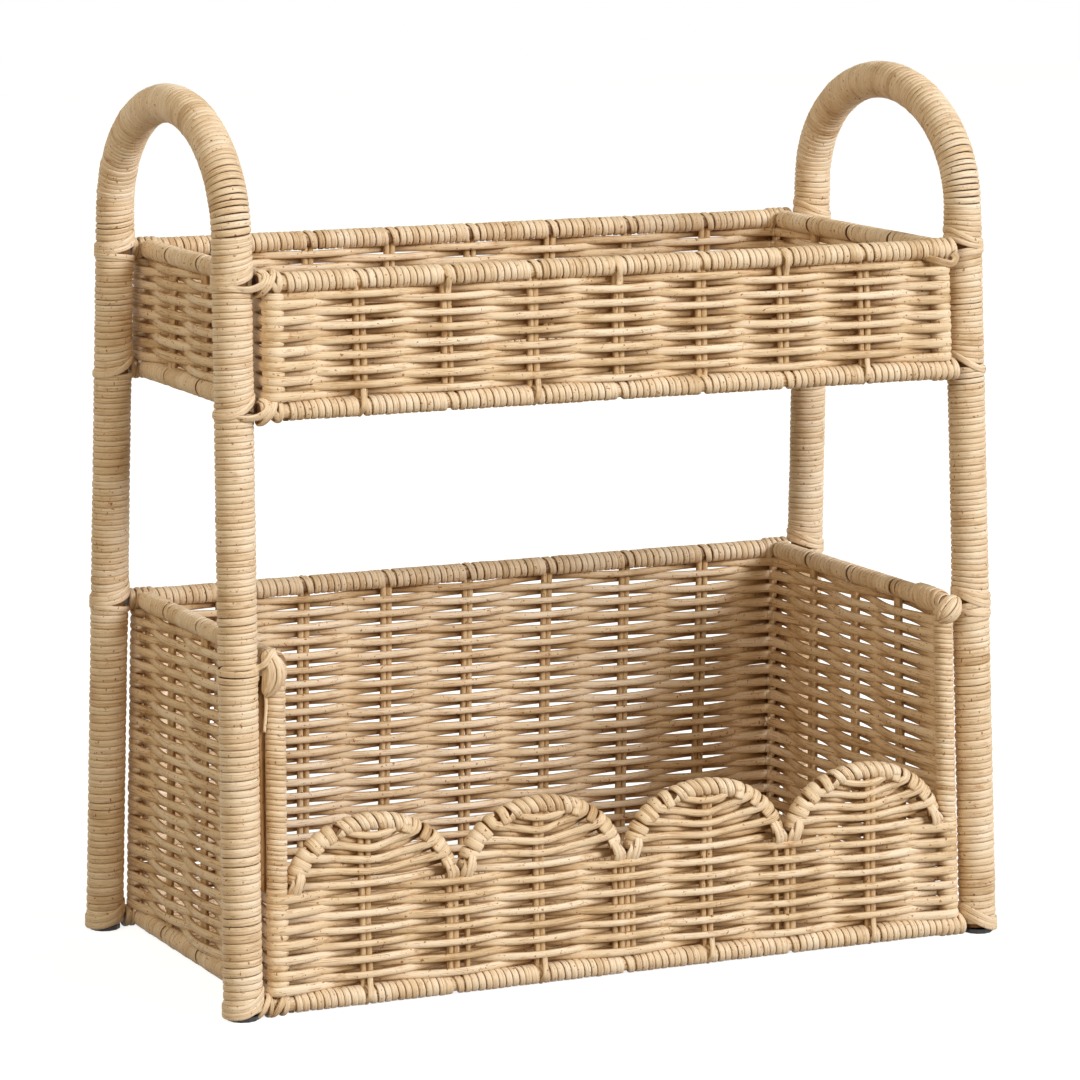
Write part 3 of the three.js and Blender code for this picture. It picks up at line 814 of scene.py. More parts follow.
ALL_ROUND = ("front", "back", "left", "right")
tray_rows = [woven_row(tray, row_height(tray, i), i % 2) for i in range(tray.rows)]
add_piece("tray_weave", tray_rows, reed_cane, "cane_weave", *walls("tray", *ALL_ROUND))
low_rows = [woven_row(basket, row_height(basket, i), i % 2) for i in range(FRONT_ROWS)]
add_piece("basket_weave_low", low_rows, reed_cane, "cane_weave", *walls("basket", *ALL_ROUND))
high_rows = [woven_row(basket, row_height(basket, i), i % 2, CORNER_PLACES[1], STATIONS)
             for i in range(FRONT_ROWS, basket.rows)]
add_piece("basket_weave_high", high_rows, reed_cane, "cane_weave",
          *walls("basket", "back", "left", "right"))

# %% [markdown]
# ## Stakes and corner rods
#
# The stakes are pairs of thinner reeds that stand upright inside the weave, from the bottom rail to
# the top rail. They show between every other row. The corner rods are thicker.

# %% Uprights and their ties
# Painted shade on every upright, which stands back among the rows.
STAKE_PAINTED_SHADE = 0.42
STAKE_TONES = (0.3, 0.6)
TIED_SHARE = 0.8
POINT_RISE = 4
FIRST_WAVE, SECOND_WAVE = 7, 5
# Each point of a stake's tie is (along the wall, forward from the rail's middle, past the rail).
STAKE_TIE = ((-1.4, 1.0, -4.4), (-0.4, 5.7, -0.5), (0.2, 4.9, 3.6), (0.6, 3.3, 6.6),
             (0.6, 2.7, 10.2))


def upright(x, outward, foot, top, radius, tone, sway=0.25):
    """A rod between two points of the wall, swaying a little: foot and top are (y, z), and x is
    one place or one for the foot and one for the top."""
    count = max(8, int(abs(top[1] - foot[1]) / POINT_RISE))
    share = np.linspace(0, 1, count)
    bend = rng.normal(0, sway, 2)
    line = np.stack([
        np.interp(share, [0, 1], np.broadcast_to(x, 2))
        + bend[0] * np.sin(share * FIRST_WAVE + rng.uniform(0, 6)),
        foot[0] + (top[0] - foot[0]) * share + bend[1] * np.sin(share * SECOND_WAVE),
        foot[1] + (top[1] - foot[1]) * share,
    ], 1)
    return strand(line, np.array(outward, float), 2 * radius, 2 * radius, STAKE, tone,
                  shelter=STAKE_PAINTED_SHADE)


def stake(x, outward, foot, top):
    """A reed that stands in a wall, a little thicker or thinner and browner than the next."""
    return upright(x, outward, foot, top, STAKE_RADIUS * rng.uniform(0.9, 1.08),
                   rng.uniform(*STAKE_TONES))


def side_ends(tier, side):
    """Where a side wall stands at its bottom and top rails."""
    return side * tier.side_x(tier.bottom_z), side * tier.side_x(tier.top_z)


def stake_tie(x, end, y, z, up):
    """A split reed that comes round a rail and lies on a stake pair, on the bottom rail (up = 1)
    or hanging from the top rail (up = -1)."""
    along, forward, past = np.array(STAKE_TIE).T
    x = x + rng.uniform(-0.8, 0.8) + along
    points = np.stack([x, end * (y + forward), z + up * past], 1)
    return strand(smooth_line(points, 16), np.array([0, end, 0.3 * up]), width=3.3, depth=1.8,
                  outline=REED, tone=rng.uniform(*STAKE_TONES))


def stake_pairs(tier, end_top):
    """Pairs of stakes in all four walls. end_top gives the height where one of the front or back
    ends. Most pairs of the long walls are tied to one rail each, by turns bottom and top."""
    strands = []
    for j, x in enumerate(long_stakes[tier.name]):
        for end in (-1, 1):
            if j % 2 == 0 and rng.random() < TIED_SHARE:
                strands.append(stake_tie(x, end, tier.bottom_y, tier.bottom_z, 1))
            if j % 2 == 1 and (tier is tray or end > 0) and rng.random() < TIED_SHARE:
                strands.append(stake_tie(x, end, tier.top_y, tier.top_z, -1))
    for x in long_stakes[tier.name]:
        for end in (-1, 1):
            top_z = end_top(x, end)
            for shift in (-STAKE_SHIFT, STAKE_SHIFT):
                strands.append(stake(x + shift + rng.uniform(-0.3, 0.3), (0, end, 0),
                                     (end * tier.bottom_y, tier.bottom_z),
                                     (end * tier.y(top_z), top_z)))
    for j in range(1, SIDE_BAYS):
        along = 2 * j / SIDE_BAYS - 1
        for side in (-1, 1):
            for shift in (-STAKE_SHIFT, STAKE_SHIFT):
                strands.append(stake(side_ends(tier, side), (side, 0, 0),
                                     (along * tier.bottom_y + shift, tier.bottom_z),
                                     (along * tier.top_y + shift, tier.top_z)))
    return strands


print("stakes stand at", long_stakes["tray"].round(1))

# %% Stand the tray's stakes and all the corner rods
ROD_TONE, ROD_SWAY = 0.5, 0.1
TURN_TONE, TURN_TONE_SPREAD = 0.4, 0.12
TURN_WAVE = 0.4


def corner_turn(x, y, z):
    """A full turn of reed round a corner rod, on the rows that pass inside it."""
    angle = np.linspace(0, 2 * np.pi, 18, endpoint=False) + rng.uniform(0, 6)
    radial = np.stack([np.cos(angle), np.sin(angle), 0 * angle], 1)
    line = np.array([x, y, z]) + ROW_TURN * radial
    line[:, 2] += TURN_WAVE * np.sin(angle + rng.uniform(0, 6))
    return strand(line, radial, REED_TALL, REED_THICK, REED,
                  some_tone(TURN_TONE, TURN_TONE_SPREAD), closed=True)


add_piece("tray_stakes", stake_pairs(tray, lambda x, end: tray.top_z), reed_cane, "cane_weave",
          *walls("tray", *ALL_ROUND))
for tier in (tray, basket):
    rods = [upright(side_ends(tier, side), (side, 0, 0), (end * tier.bottom_y, tier.bottom_z),
                    (end * tier.top_y, tier.top_z), CORNER_ROD, ROD_TONE, ROD_SWAY)
            for side, end in corners]
    nodes = [f"{tier.name}_column_{side_name[side]}_{end_name[end]}" for side, end in corners]
    for i in range(1, tier.rows, 2):
        z = row_height(tier, i)
        for side, end in corners:
            if tier is tray or end > 0 or i < FRONT_ROWS:
                rods.append(corner_turn(side * tier.side_x(z), end * tier.y(z), z))
    add_piece(f"{tier.name}_corner_rods", rods, reed_cane, "cane_binding", *nodes)

# %% [markdown]
# ## The lobed front
#
# Each lobe is a bent hoop whose two legs go down into the wall as extra stakes. Curved rows fill
# it. A row in front of the middle stakes runs over the hoop's face and turns round it to the back.
# A row behind them comes round the hoop from the back and is cut off on its face. Over the top the
# hoop is bound with fat turns, so that no bare rod is left.

# %% The plan of a lobe
LOBES = 4
FRONT_TOP = 58.0
LOBE_PEAK = 93.5
HOOP_ROD = 2.1
HOOP_STRIP = 2.4
TOP_STRIP = 2.6
HOOP_CLEAR = 0.3
LOBE_GAP = 0.15
front_half = basket.x - COLUMN_RADIUS - HOOP_CLEAR
lobe_half = front_half / LOBES
hoop_outer = HOOP_ROD + HOOP_CLEAR + TOP_STRIP
hoop_a = lobe_half - hoop_outer - LOBE_GAP
hoop_b = LOBE_PEAK - FRONT_TOP - hoop_outer
hoop_foot = FRONT_TOP + HOOP_CLEAR
lobe_centres = -front_half + lobe_half * (2 * np.arange(LOBES) + 1)
lean = math.atan2(basket.bottom_y - basket.top_y, basket.top_z - basket.bottom_z)
front_out = np.array([0, -math.cos(lean), -math.sin(lean)])
print("lobes of half width", round(lobe_half, 1), "and height", LOBE_PEAK - FRONT_TOP)


def on_front(u, v, w):
    """A point of the leaning front wall: u along it, v up it from the bottom rail, w out of it."""
    return np.stack([
        u + 0 * v,
        -basket.bottom_y + v * math.sin(lean) - w * math.cos(lean),
        basket.bottom_z + v * math.cos(lean) - w * math.sin(lean),
    ], -1)


def front_way(u, v, w):
    """A direction of the front wall, in the same three parts."""
    return on_front(u, v, w) - on_front(0 * u, 0 * v, 0 * w)


# %% Fill the lobes with curved rows
LOBE_ROWS = 7
LOBE_ROW_STEP, LOBE_FIRST_ROW = 2.95, 3.4
LOWEST_END, ENDS_SPREAD = 9, 50
ROW_WIDTH, FLAT_END, ROW_DEPTH = 4.1, 5.6, 3.2
CENTRE_SWING = 2.7
CUT_TAIL = np.array([-1.2, -2.4, -3.6])
LEFT_ENDS, RIGHT_ENDS, ENDS_UNEVEN = -0.03, 0.07, 0.02
FRONT_TONE, BACK_TONE, LOBE_TONE_SPREAD = 0.34, 0.5, 0.14
CREST_DROP, CREST_OUT, CREST_CURVE = 11.0, 3.6, 0.012
around_hoop = HOOP_ROD + HOOP_CLEAR + HOOP_STRIP / 2


def hoop_turn(centre, side, angle, face, steps=13):
    """The end of a row that turns round the hoop from one face over the outside to the other:
    point = hoop + radius * (cos(a) away from the lobe + sin(a) face). A short flat tail follows,
    back towards the lobe. Also gives the way that the strip's broad face looks."""
    a = np.radians(np.linspace(95, -90, steps))
    away = np.concatenate([around_hoop * np.cos(a), CUT_TAIL])
    out = np.concatenate([around_hoop * np.sin(a), -around_hoop - 0.5 - 0 * CUT_TAIL]) * face
    away_u, away_v = unit(np.array([math.cos(angle) / hoop_a, math.sin(angle) / hoop_b]))
    u = centre + side * (hoop_a * math.cos(angle) + away * away_u)
    v = hoop_foot + hoop_b * math.sin(angle) + away * away_v
    a = np.concatenate([a, np.radians([-90, -90, -90])])
    looks = front_way(side * away_u * np.cos(a), away_v * np.cos(a), face * np.sin(a))
    return np.stack([u, v, out], 1), looks


def lobe_row(centre, angle, middle_v, front):
    """A curved row that dips from hoop to hoop: v = middle + rise * across^1.8, in front of the
    middle stakes or behind them. It is round in the middle and flat where it turns."""
    face = 1 if front else -1
    left, left_looks = hoop_turn(centre, -1, angle + rng.normal(LEFT_ENDS, ENDS_UNEVEN), face)
    right, right_looks = hoop_turn(centre, 1, angle + rng.normal(RIGHT_ENDS, ENDS_UNEVEN), face)
    across = np.linspace(-1, 1, 32)[1:-1]
    start, stop = left[0], right[0]
    u = np.interp(across, [-1, 1], [start[0], stop[0]])
    side_v = np.interp(across, [-1, 1], [start[1], stop[1]])
    v = middle_v + (side_v - middle_v) * np.abs(across) ** 1.8
    w = face * (SWING - CENTRE_SWING * np.sin(np.pi * across) ** 2)
    path = np.concatenate([left[::-1], np.stack([u, v, w], 1), right])
    looks = np.concatenate([left_looks[::-1], np.tile(face * front_out, (len(u), 1)), right_looks])
    flat = np.concatenate([np.ones(len(left)), np.abs(across) ** 4, np.ones(len(right))])
    width = (ROW_WIDTH + (FLAT_END - ROW_WIDTH) * flat) * rng.uniform(0.95, 1.04)
    depth = ROW_DEPTH + (HOOP_STRIP - ROW_DEPTH) * flat
    tone = some_tone(FRONT_TONE if front else BACK_TONE, LOBE_TONE_SPREAD)
    # The offset sets painted shade, dark where the row lies behind and faces the stakes.
    offset = np.concatenate([0 * left[:, 0] + SWING, face * w, 0 * right[:, 0] + SWING])
    return strand(on_front(*path.T), looks, width, depth, REED, tone,
                  shelter=painted_shade_at(offset, REED, ROW_DEPTH))


lobe_strands = []
for centre in lobe_centres:
    for i in range(LOBE_ROWS):
        angle = math.radians(LOWEST_END + ENDS_SPREAD * i / (LOBE_ROWS - 1))
        middle_v = FRONT_TOP + LOBE_FIRST_ROW + LOBE_ROW_STEP * i + rng.normal(0, 0.2)
        lobe_strands.append(lobe_row(centre, angle, middle_v, (i + FRONT_ROWS) % 2 == 1))
    across = np.linspace(-14, 14, 14)
    bow = CREST_CURVE * across ** 2
    crest = on_front(centre + across, LOBE_PEAK - CREST_DROP + bow, CREST_OUT - bow)
    # The crest row gets a little painted shade.
    lobe_strands.append(strand(crest, front_out, width=3.7, depth=2.8, outline=REED, tone=0.3,
                               shelter=0.1))
add_piece("front_lobe_rows", lobe_strands, reed_cane, "cane_weave", "basket_wall_front")

# %% Bind the tops of the hoops and the valleys between them
TOP_TURNS, TOP_WIDTH, TOP_SLANT = 9, 4.3, -1.1
BOUND_ARC = np.radians([-117, -63])
# Each valley strip is (outward from the hoop, how far up it starts, width).
VALLEY_STRIPS = ((-0.6, 11.0, 4.6), (2.6, 6.5, 3.4))
VALLEY_TONES = (0.3, 0.55)


def valley_strip(centre, way, shift, tall, width):
    """A strip that comes down a hoop's outside, bends over its foot and goes into the wall."""
    u = centre + way * (hoop_a + shift + np.array([-2.6, -1.0, 0.6, 0.9, 0.6]))
    v = FRONT_TOP + np.array([tall, 0.6 * tall, 1.0, -3.5, -8.0])
    w = np.array([1.0, 4.9, 5.3, 2.6, -2.0]) - 0.3 * max(shift, 0)
    return strand(smooth_line(on_front(u, v, w)), front_out, width, depth=2.0,
                  outline=DOUBLE_PEEL, tone=rng.uniform(*VALLEY_TONES))


for index, centre in enumerate(lobe_centres):
    angle = np.radians(np.linspace(178, 2, 120))
    line = on_front(centre + hoop_a * np.cos(angle), hoop_foot + hoop_b * np.sin(angle), 0 * angle)
    start, stop = np.interp(BOUND_ARC, -angle, measure(line))
    centres = np.linspace(start, stop, TOP_TURNS) + rng.uniform(-0.3, 0.3, TOP_TURNS)
    strips = [wound_strip(line, front_out, centres, np.full(TOP_TURNS, TOP_WIDTH), HOOP_ROD + 0.2,
                          TOP_STRIP, DOUBLE_PEEL, steps=18, tone_middle=0.34,
                          part=slanted(TOP_SLANT, axis=2))]
    strips += [valley_strip(centre, way, *sizes) for way in (-1, 1) for sizes in VALLEY_STRIPS]
    add_piece(f"hoop_{index + 1}_binding", strips, peel_cane, "cane_binding",
              f"hoop_binding_{index + 1}")

# %% Stakes of the basket, with the hoops' legs beside them
HOOP_LEG = 1.6
BELOW_PEAK, ABOVE_VALLEY = 6, 1
FROM_CORNER = 12


def front_stake_top(x, end):
    """Stakes reach the top rail at the back, a hoop in the middle of a lobe, or the valley."""
    if end > 0:
        return basket.top_z
    in_lobe = np.min(np.abs(lobe_centres - x)) < lobe_half / 2
    return basket.bottom_z + (LOBE_PEAK - BELOW_PEAK if in_lobe else FRONT_TOP + ABOVE_VALLEY)


basket_stakes = stake_pairs(basket, front_stake_top)
for centre in lobe_centres:
    for way in (-1, 1):
        x = centre + way * hoop_a
        if abs(x) < front_half - FROM_CORNER:
            top_z = basket.bottom_z + hoop_foot
            basket_stakes.append(upright(x, (0, -1, 0), (-basket.bottom_y, basket.bottom_z),
                                         (-basket.y(top_z), top_z), HOOP_LEG, tone=0.45))
add_piece("basket_stakes", basket_stakes, reed_cane, "cane_weave", *walls("basket", *ALL_ROUND))

# %% [markdown]
# ## The front corner rods
#
# Above the lobed front the side rows end at the front corner rods: each row turns round the rod and
# runs back. From outside that looks like a rod bound with close turns, so it is wound that way,
# with each turn a little lower on its right.

# %% Bind the front corner rods
CORE_OF_TURNS, TURN_THICKNESS, TURN_WIDTH, TURN_SLANT = CORNER_ROD + 1.0, 1.9, 2.9, -1.1
for side in (-1, 1):
    z = np.linspace(basket.bottom_z + FRONT_TOP, basket.top_z - RAIL_RADIUS, 60)
    line = np.stack([side * basket.side_x(z), -basket.y(z), z], 1)
    total = measure(line)[-1]
    centres, widths = binding_turns(np.array([0.0, total]), lambda s: TURN_WIDTH + 0 * s)
    coil = wound_strip(line, np.array([0.0, -1.0, 0.0]), centres, widths, CORE_OF_TURNS,
                       TURN_THICKNESS, FLAT_PEEL, steps=16, tone_middle=0.45,
                       part=slanted(TURN_SLANT, axis=0))
    add_piece(f"basket_rod_binding_{side_name[side]}", [coil], peel_cane, "cane_binding",
              f"basket_column_{side_name[side]}_front")

# %% [markdown]
# ## Floors
#
# Both floors are woven like the walls, lying flat: stakes run from front to back and the rows run
# lengthwise over and under them.

# %% Weave the floors
FLOOR_ROW_STEP, FLOOR_SWING = 3.9, 2.4
FLOOR_STAKE_SHIFT = 1.6
FLOOR_TONE, FLOOR_TONE_SPREAD, FLOOR_WANDER = 0.42, 0.12, 0.2
# Painted shade on every reed of both floors.
FLOOR_PAINTED_SHADE = 0.25
FLOOR_CLEAR = 0.6
UP = np.array([0, 0, 1.0])


def floor_weave(tier):
    """Rows side by side at even distances, each a wave over and under the stake pairs."""
    rim = RAIL_RADIUS + FLOOR_CLEAR
    half_x, half_y = tier.side_x(tier.bottom_z) - rim, tier.bottom_y - rim
    rows = int(2 * half_y / FLOOR_ROW_STEP)
    strands = []
    x = np.linspace(-half_x, half_x, 100)
    for i in range(rows):
        y = -half_y + 2 * half_y * (i + 0.5) / rows
        wave = np.cos(np.pi * (x + tier.x) * LONG_BAYS / (2 * tier.x) + np.pi * (i % 2))
        y = y + rng.normal(0, FLOOR_WANDER)
        line = np.stack([x, y + 0 * x, tier.bottom_z + FLOOR_SWING * wave], 1)
        tone = some_tone(FLOOR_TONE, FLOOR_TONE_SPREAD)
        strands.append(strand(line, UP, width=3.7, depth=2.6, outline=STAKE, tone=tone,
                              shelter=FLOOR_PAINTED_SHADE))
    y = np.linspace(-half_y, half_y, 20)
    for x_stake in long_stakes[tier.name]:
        for shift in (-FLOOR_STAKE_SHIFT, FLOOR_STAKE_SHIFT):
            line = np.stack([x_stake + shift + 0 * y, y, tier.bottom_z + 0 * y], 1)
            strands.append(strand(line, UP, width=2.6, depth=2.4, outline=STAKE, tone=0.5,
                                  shelter=FLOOR_PAINTED_SHADE))
    return strands


for tier in (tray, basket):
    add_piece(f"{tier.name}_floor_weave", floor_weave(tier), reed_cane, "cane_weave",
              f"{tier.name}_floor")

# %% [markdown]
# ## Lashings
#
# The tiers hang on the legs by ties of peel. At a top joint two strips rise over the end of the
# rail and one dips under it, and they lie side by side on the far side of the leg. At a bottom
# joint one strip sweeps down from above the rail, and at the feet two. The end of the rail itself
# is covered with fat slanting turns, which cross or fan out at the front left corner.

# %% Strips round a leg
BAND_THICKNESS, BAND_CLEAR = 1.3, 0.1
BAND_TONES = (0.28, 0.42)
# Each band is (height on the far side, rise towards the rail, width).
BANDS_AT_TOP = ((2.6, 7.2, 3.0), (0.3, 4.8, 2.8), (-1.6, -2.6, 3.0))
BANDS_AT_BOTTOM = ((-1.6, 9.4, 3.6),)
BANDS_AT_FOOT = ((-2.4, 8.0, 3.8), (1.0, 8.4, 3.8))
BANDS_AT_OPEN_FRONT = {
    -1: ((-4.4, 0.0, 3.3), (-8.2, 0.6, 3.2)),
    1: ((2.2, 4.0, 3.0), (-2.0, 6.8, 4.4), (-7.0, 2.0, 3.2)),
}


def leg_band(side, end, z, far, rise, width):
    """A closed strip round a leg whose height = z + far + rise * ((1 + cos(a)) / 2)^2, where a is
    the angle to the inside, where the rail ends."""
    a = np.linspace(0, 2 * np.pi, 56, endpoint=False)
    radial = np.stack([-side * np.cos(a), end * np.sin(a), 0 * a], 1)
    height = z + far + rise * ((1 + np.cos(a)) / 2) ** 2
    middle = np.stack([side * post_x(height), end * post_y(height), height], 1)
    line = middle + radial * (POLE_RADIUS + BAND_CLEAR)
    return strand(line, radial, width, BAND_THICKNESS, FLAT_PEEL, rng.uniform(*BAND_TONES),
                  closed=True)


print("bands at a top joint, a bottom joint and a foot:",
      len(BANDS_AT_TOP), len(BANDS_AT_BOTTOM), len(BANDS_AT_FOOT))

# %% Turns over the end of a rail
# Each turn is (distance from the rail's end, slide along it, width, lift).
TURNED_END = ((1.9, 0.7, 3.9, 0.0), (5.7, 0.9, 3.9, 0.0), (9.4, 0.7, 3.9, 0.0),
              (13.0, 0.5, 3.8, 0.0))
CROSSED_END = ((1.0, 0.2, 3.4, -0.4), (6.4, -3.4, 3.4, 0.0), (4.2, 3.8, 4.2, 1.0),
               (10.2, 0.2, 3.4, 0.0))
FANNED_END = ((-1.4, 3.6, 3.2, 0.6), (2.6, 0.4, 2.6, 0.0), (7.0, 3.4, 3.6, 0.4),
              (10.9, 1.0, 3.4, 0.0))
FANNED_DARKER = 0.25
END_LIFT, END_NARROW = 1.1, 0.7
END_TONES = (0.26, 0.5)
# Each point of a loose strip is (inward from the rail's end, forward out of the wall, up).
HOOK = ((-16.0, 0.2, -1.0), (-9.5, 3.9, -2.2), (-3.5, 4.6, -2.0), (0.6, 5.8, -0.2),
        (3.0, 5.6, 2.4), (3.2, 3.2, 5.0), (1.4, 0.0, 6.4))
KNOT_UNDER_RAIL = ((18.0, 1.4, -3.4), (13.0, 4.8, -5.2), (7.5, 5.8, -6.9), (3.4, 5.8, -7.2),
                   (1.4, 5.8, -4.4), (3.4, 5.6, -1.4))


def rail_point(side, end, z, y, inward, forward, up):
    """A point by a long rail's end: inward from the end, forward out of the wall, and up."""
    return np.stack([side * (rail_reach(z) - inward), end * (y + forward), z + up], -1)


def slanted_ring(side, end, z, y, place, slide, width, lift, darker):
    """A strip round a rail that leans along it: place + slide * sin(a), widest in front and behind
    and narrow above and below."""
    a = np.linspace(0, 2 * np.pi, 32, endpoint=False)
    radius = RAIL_CORE + END_LIFT + lift
    line = rail_point(side, end, z, y, place + slide * np.sin(a), radius * np.cos(a),
                      radius * np.sin(a))
    radial = np.stack([0 * a, end * np.cos(a), np.sin(a)], 1)
    width = width * (END_NARROW + (1 - END_NARROW) * np.cos(a) ** 2)
    return strand(line, radial, width, depth=2.0, outline=DOUBLE_PEEL,
                  tone=rng.uniform(*END_TONES) + darker, closed=True)


def hook(side, end, z, y):
    """A strip that leaves the leg beside the rail and curls up over the rail's end, its broad
    face away from the rail."""
    line = smooth_line(rail_point(side, end, z, y, *np.array(HOOK).T))
    out = (line - [0, end * y, z]) * [0, 1, 1]
    return strand(line, out, width=4.0, depth=1.7, outline=DOUBLE_PEEL, tone=0.26)


def knot_under_rail(side, end, z, y):
    """A brown strip that slants along under a rail and turns up round its end."""
    line = smooth_line(rail_point(side, end, z, y, *np.array(KNOT_UNDER_RAIL).T))
    return strand(line, np.array([0, end, -0.4]), width=4.4, depth=2.2, outline=DOUBLE_PEEL,
                  tone=0.75)


print("turns over a rail's end:", len(TURNED_END), len(CROSSED_END), len(FANNED_END))

# %% Tie the tiers to the legs
for tier, level, z, y in levels:
    for side, end in corners:
        place = (side, end, z, y)
        top = level == "top"
        nodes = [f"{tier.name}_lashing_{side_name[side]}_{end_name[end]}"] if top else []
        bands = BANDS_AT_TOP if top else BANDS_AT_BOTTOM
        ring_ends = TURNED_END
        if z < POLE_RADIUS:
            bands = BANDS_AT_FOOT
        if (side, end) == (-1, -1):
            ring_ends = CROSSED_END if tier is tray else FANNED_END
        if top and tier is basket and end < 0:
            bands, ring_ends = BANDS_AT_OPEN_FRONT[side], ()
        strands = [leg_band(side, end, z, *band) for band in bands]
        darker = FANNED_DARKER if ring_ends is FANNED_END else 0.0
        strands += [slanted_ring(*place, *ring, darker) for ring in ring_ends]
        if ring_ends is CROSSED_END:
            strands.append(hook(*place))
        if top and tier is tray and side > 0:
            strands.append(knot_under_rail(*place))
        add_piece(f"{tier.name}_{level}_tie_{side_name[side]}_{end_name[end]}", strands, peel_cane,
                  "cane_binding", *nodes)

# %% [markdown]
# ## The knots of the open front
#
# Where the side rails end in the open, fat strips are laid over their ends like the peel of an
# orange: each one runs from above to below, broad in the middle and pointed at both ends, and
# bulges out. The left knot is long and upright, and a strip climbs on to it from the leg. The right
# one is rounder and leans, and fat turns cover the rail behind it.

# %% Strips laid over a knot
# Each strip is (degrees turned from the front, lift, width).
LONG_KNOT = ((-66, 0.0, 3.8), (-28, 0.3, 5.0), (14, 1.1, 5.0), (52, 0.2, 4.4), (88, 0.6, 4.0))
ROUND_KNOT = ((-75, 0.0, 4.2), (-44, 0.8, 3.8), (-8, 1.5, 4.0), (26, 0.5, 4.4), (62, 1.2, 3.8),
              (98, 0.2, 4.0))
KNOT_POINTED = 0.25
KNOT_TONES = (0.26, 0.42)
KNOT_FORWARD = 2.6


def knot_strips(side, middle, tilt, reach, tall, shift, strips):
    """Strips of (turned, lift, width) laid over a knot: middle + reach * cos(t) way + tall *
    sin(t) pole, where the pole leans by tilt towards the leg. shift moves both ends that way."""
    pole = np.array([side * math.sin(tilt), 0, math.cos(tilt)])
    aside = np.array([side * math.cos(tilt), 0, -math.sin(tilt)])
    t = np.radians(np.linspace(-84, 84, 26))
    strands = []
    for turned, lift, width in strips:
        turned = math.radians(turned)
        way = -math.sin(turned) * aside - math.cos(turned) * np.array([0, 1, 0])
        around, along = ((reach + lift) * np.cos(t))[:, None], ((tall + lift) * np.sin(t))[:, None]
        line = middle + around * way + along * pole
        line[:, 0] += side * shift * np.sin(t) ** 2
        looks = around * way / (reach + lift) ** 2 + along * pole / (tall + lift) ** 2
        width = width * (KNOT_POINTED + (1 - KNOT_POINTED) * np.cos(t) ** 0.7)
        strands.append(strand(line, looks, width, depth=2.0, outline=DOUBLE_PEEL,
                              tone=rng.uniform(*KNOT_TONES)))
    return strands


def knot_middle(side, towards_leg, below_rail):
    """The middle of a knot, just in front of the end of a side rail."""
    return np.array([side * (basket.side_x(basket.top_z) + towards_leg),
                     -basket.top_y - KNOT_FORWARD, basket.top_z - below_rail])


print("strips of the left and right knot:", len(LONG_KNOT), len(ROUND_KNOT))

# %% Knot the right side rail
FAT_TURNS = np.array([2.0, 6.6, 11.6, 16.0, 21.2, 25.4])
FAT_WIDTH, FAT_THICKNESS, FAT_LIFT = 4.8, 1.7, 0.9
RAIL_PROUD, FAT_LENGTH = 2.0, 34.0
middle = knot_middle(1, towards_leg=1.4, below_rail=3.4)
right_knot = knot_strips(1, middle, tilt=math.radians(42), reach=5.6, tall=6.6, shift=0.0,
                         strips=ROUND_KNOT)
rail_end = np.array([basket.side_x(basket.top_z), -basket.top_y - RAIL_PROUD, basket.top_z])
fat_end = rail_end + np.linspace(0, 1, 30)[:, None] * [0, FAT_LENGTH, 0]
right_knot.append(wound_strip(
    fat_end, np.array([1.0, 0, 0]), FAT_TURNS, np.full(len(FAT_TURNS), FAT_WIDTH),
    RAIL_CORE + FAT_LIFT, FAT_THICKNESS, DOUBLE_PEEL, steps=18, tone_middle=0.42,
    part=slanted(2.2, axis=2, lift=0.5)))
add_piece("basket_front_knot_right", right_knot, peel_cane, "cane_binding",
          "basket_lashing_right_front")

# %% Knot the left side rail and tie it to its leg
middle = knot_middle(-1, towards_leg=2.0, below_rail=5.4)
left_knot = knot_strips(-1, middle, tilt=0.0, reach=5.6, tall=10.4, shift=3.6, strips=LONG_KNOT)
leg = np.array([-post_x(basket.top_z), -post_y(basket.top_z), basket.top_z])
climb = np.array([
    leg + [2.6, -8.4, -4.2],
    leg + [7.4, -7.6, -2.2],
    middle + [-6.2, -4.4, 5.4],
    middle + [-2.6, -4.2, 10.0],
    middle + [0.4, -1.0, 11.4],
])
left_knot.append(strand(smooth_line(climb), [0, -1.0, 0.3], width=3.2, depth=1.6,
                        outline=DOUBLE_PEEL, tone=0.3))
gap = middle + [-4.6, 0, 0]
loose_end = np.array([gap + [0, 0, -8], gap + [0.8, 0, -16], gap + [-0.3, 0, -30]])
left_knot.append(strand(smooth_line(loose_end), [0, -1.0, 0], width=1.8, depth=1.2,
                        outline=STAKE, tone=0.4))

# A dark strip stands in the gap between the leg and the corner rod, as in the photograph.
# This strip is painted shade: a dark reed set where the gap holds only shade.
z = np.linspace(basket.bottom_z + FRONT_TOP, basket.top_z - 8, 20)
beside_leg = (post_x(z) - POLE_RADIUS + basket.side_x(z) + COLUMN_RADIUS) / 2
painted_shade_strip = np.stack([-beside_leg, -basket.y(z) + 3.0, z], 1)
left_knot.append(strand(painted_shade_strip, [0, -1.0, 0], width=4.4, depth=3.0, outline=STAKE,
                        tone=0.85, shelter=0.5))
add_piece("basket_front_knot_left", left_knot, peel_cane, "cane_binding",
          "basket_lashing_left_front")

# %% [markdown]
# ## Glides and inner rods
#
# The CAD solids of the poles, hoops and glides have the right shape already, so they only get a
# finish: plain brown cane where they show through the binding, and black plastic under the feet.

# %% Finish the CAD nodes that stay
GLIDE_BLACK = (0.015, 0.015, 0.015)
GRAIN = {"Scale": 900.0, "Detail": 3.0}
GRAIN_HEIGHT = 0.0003


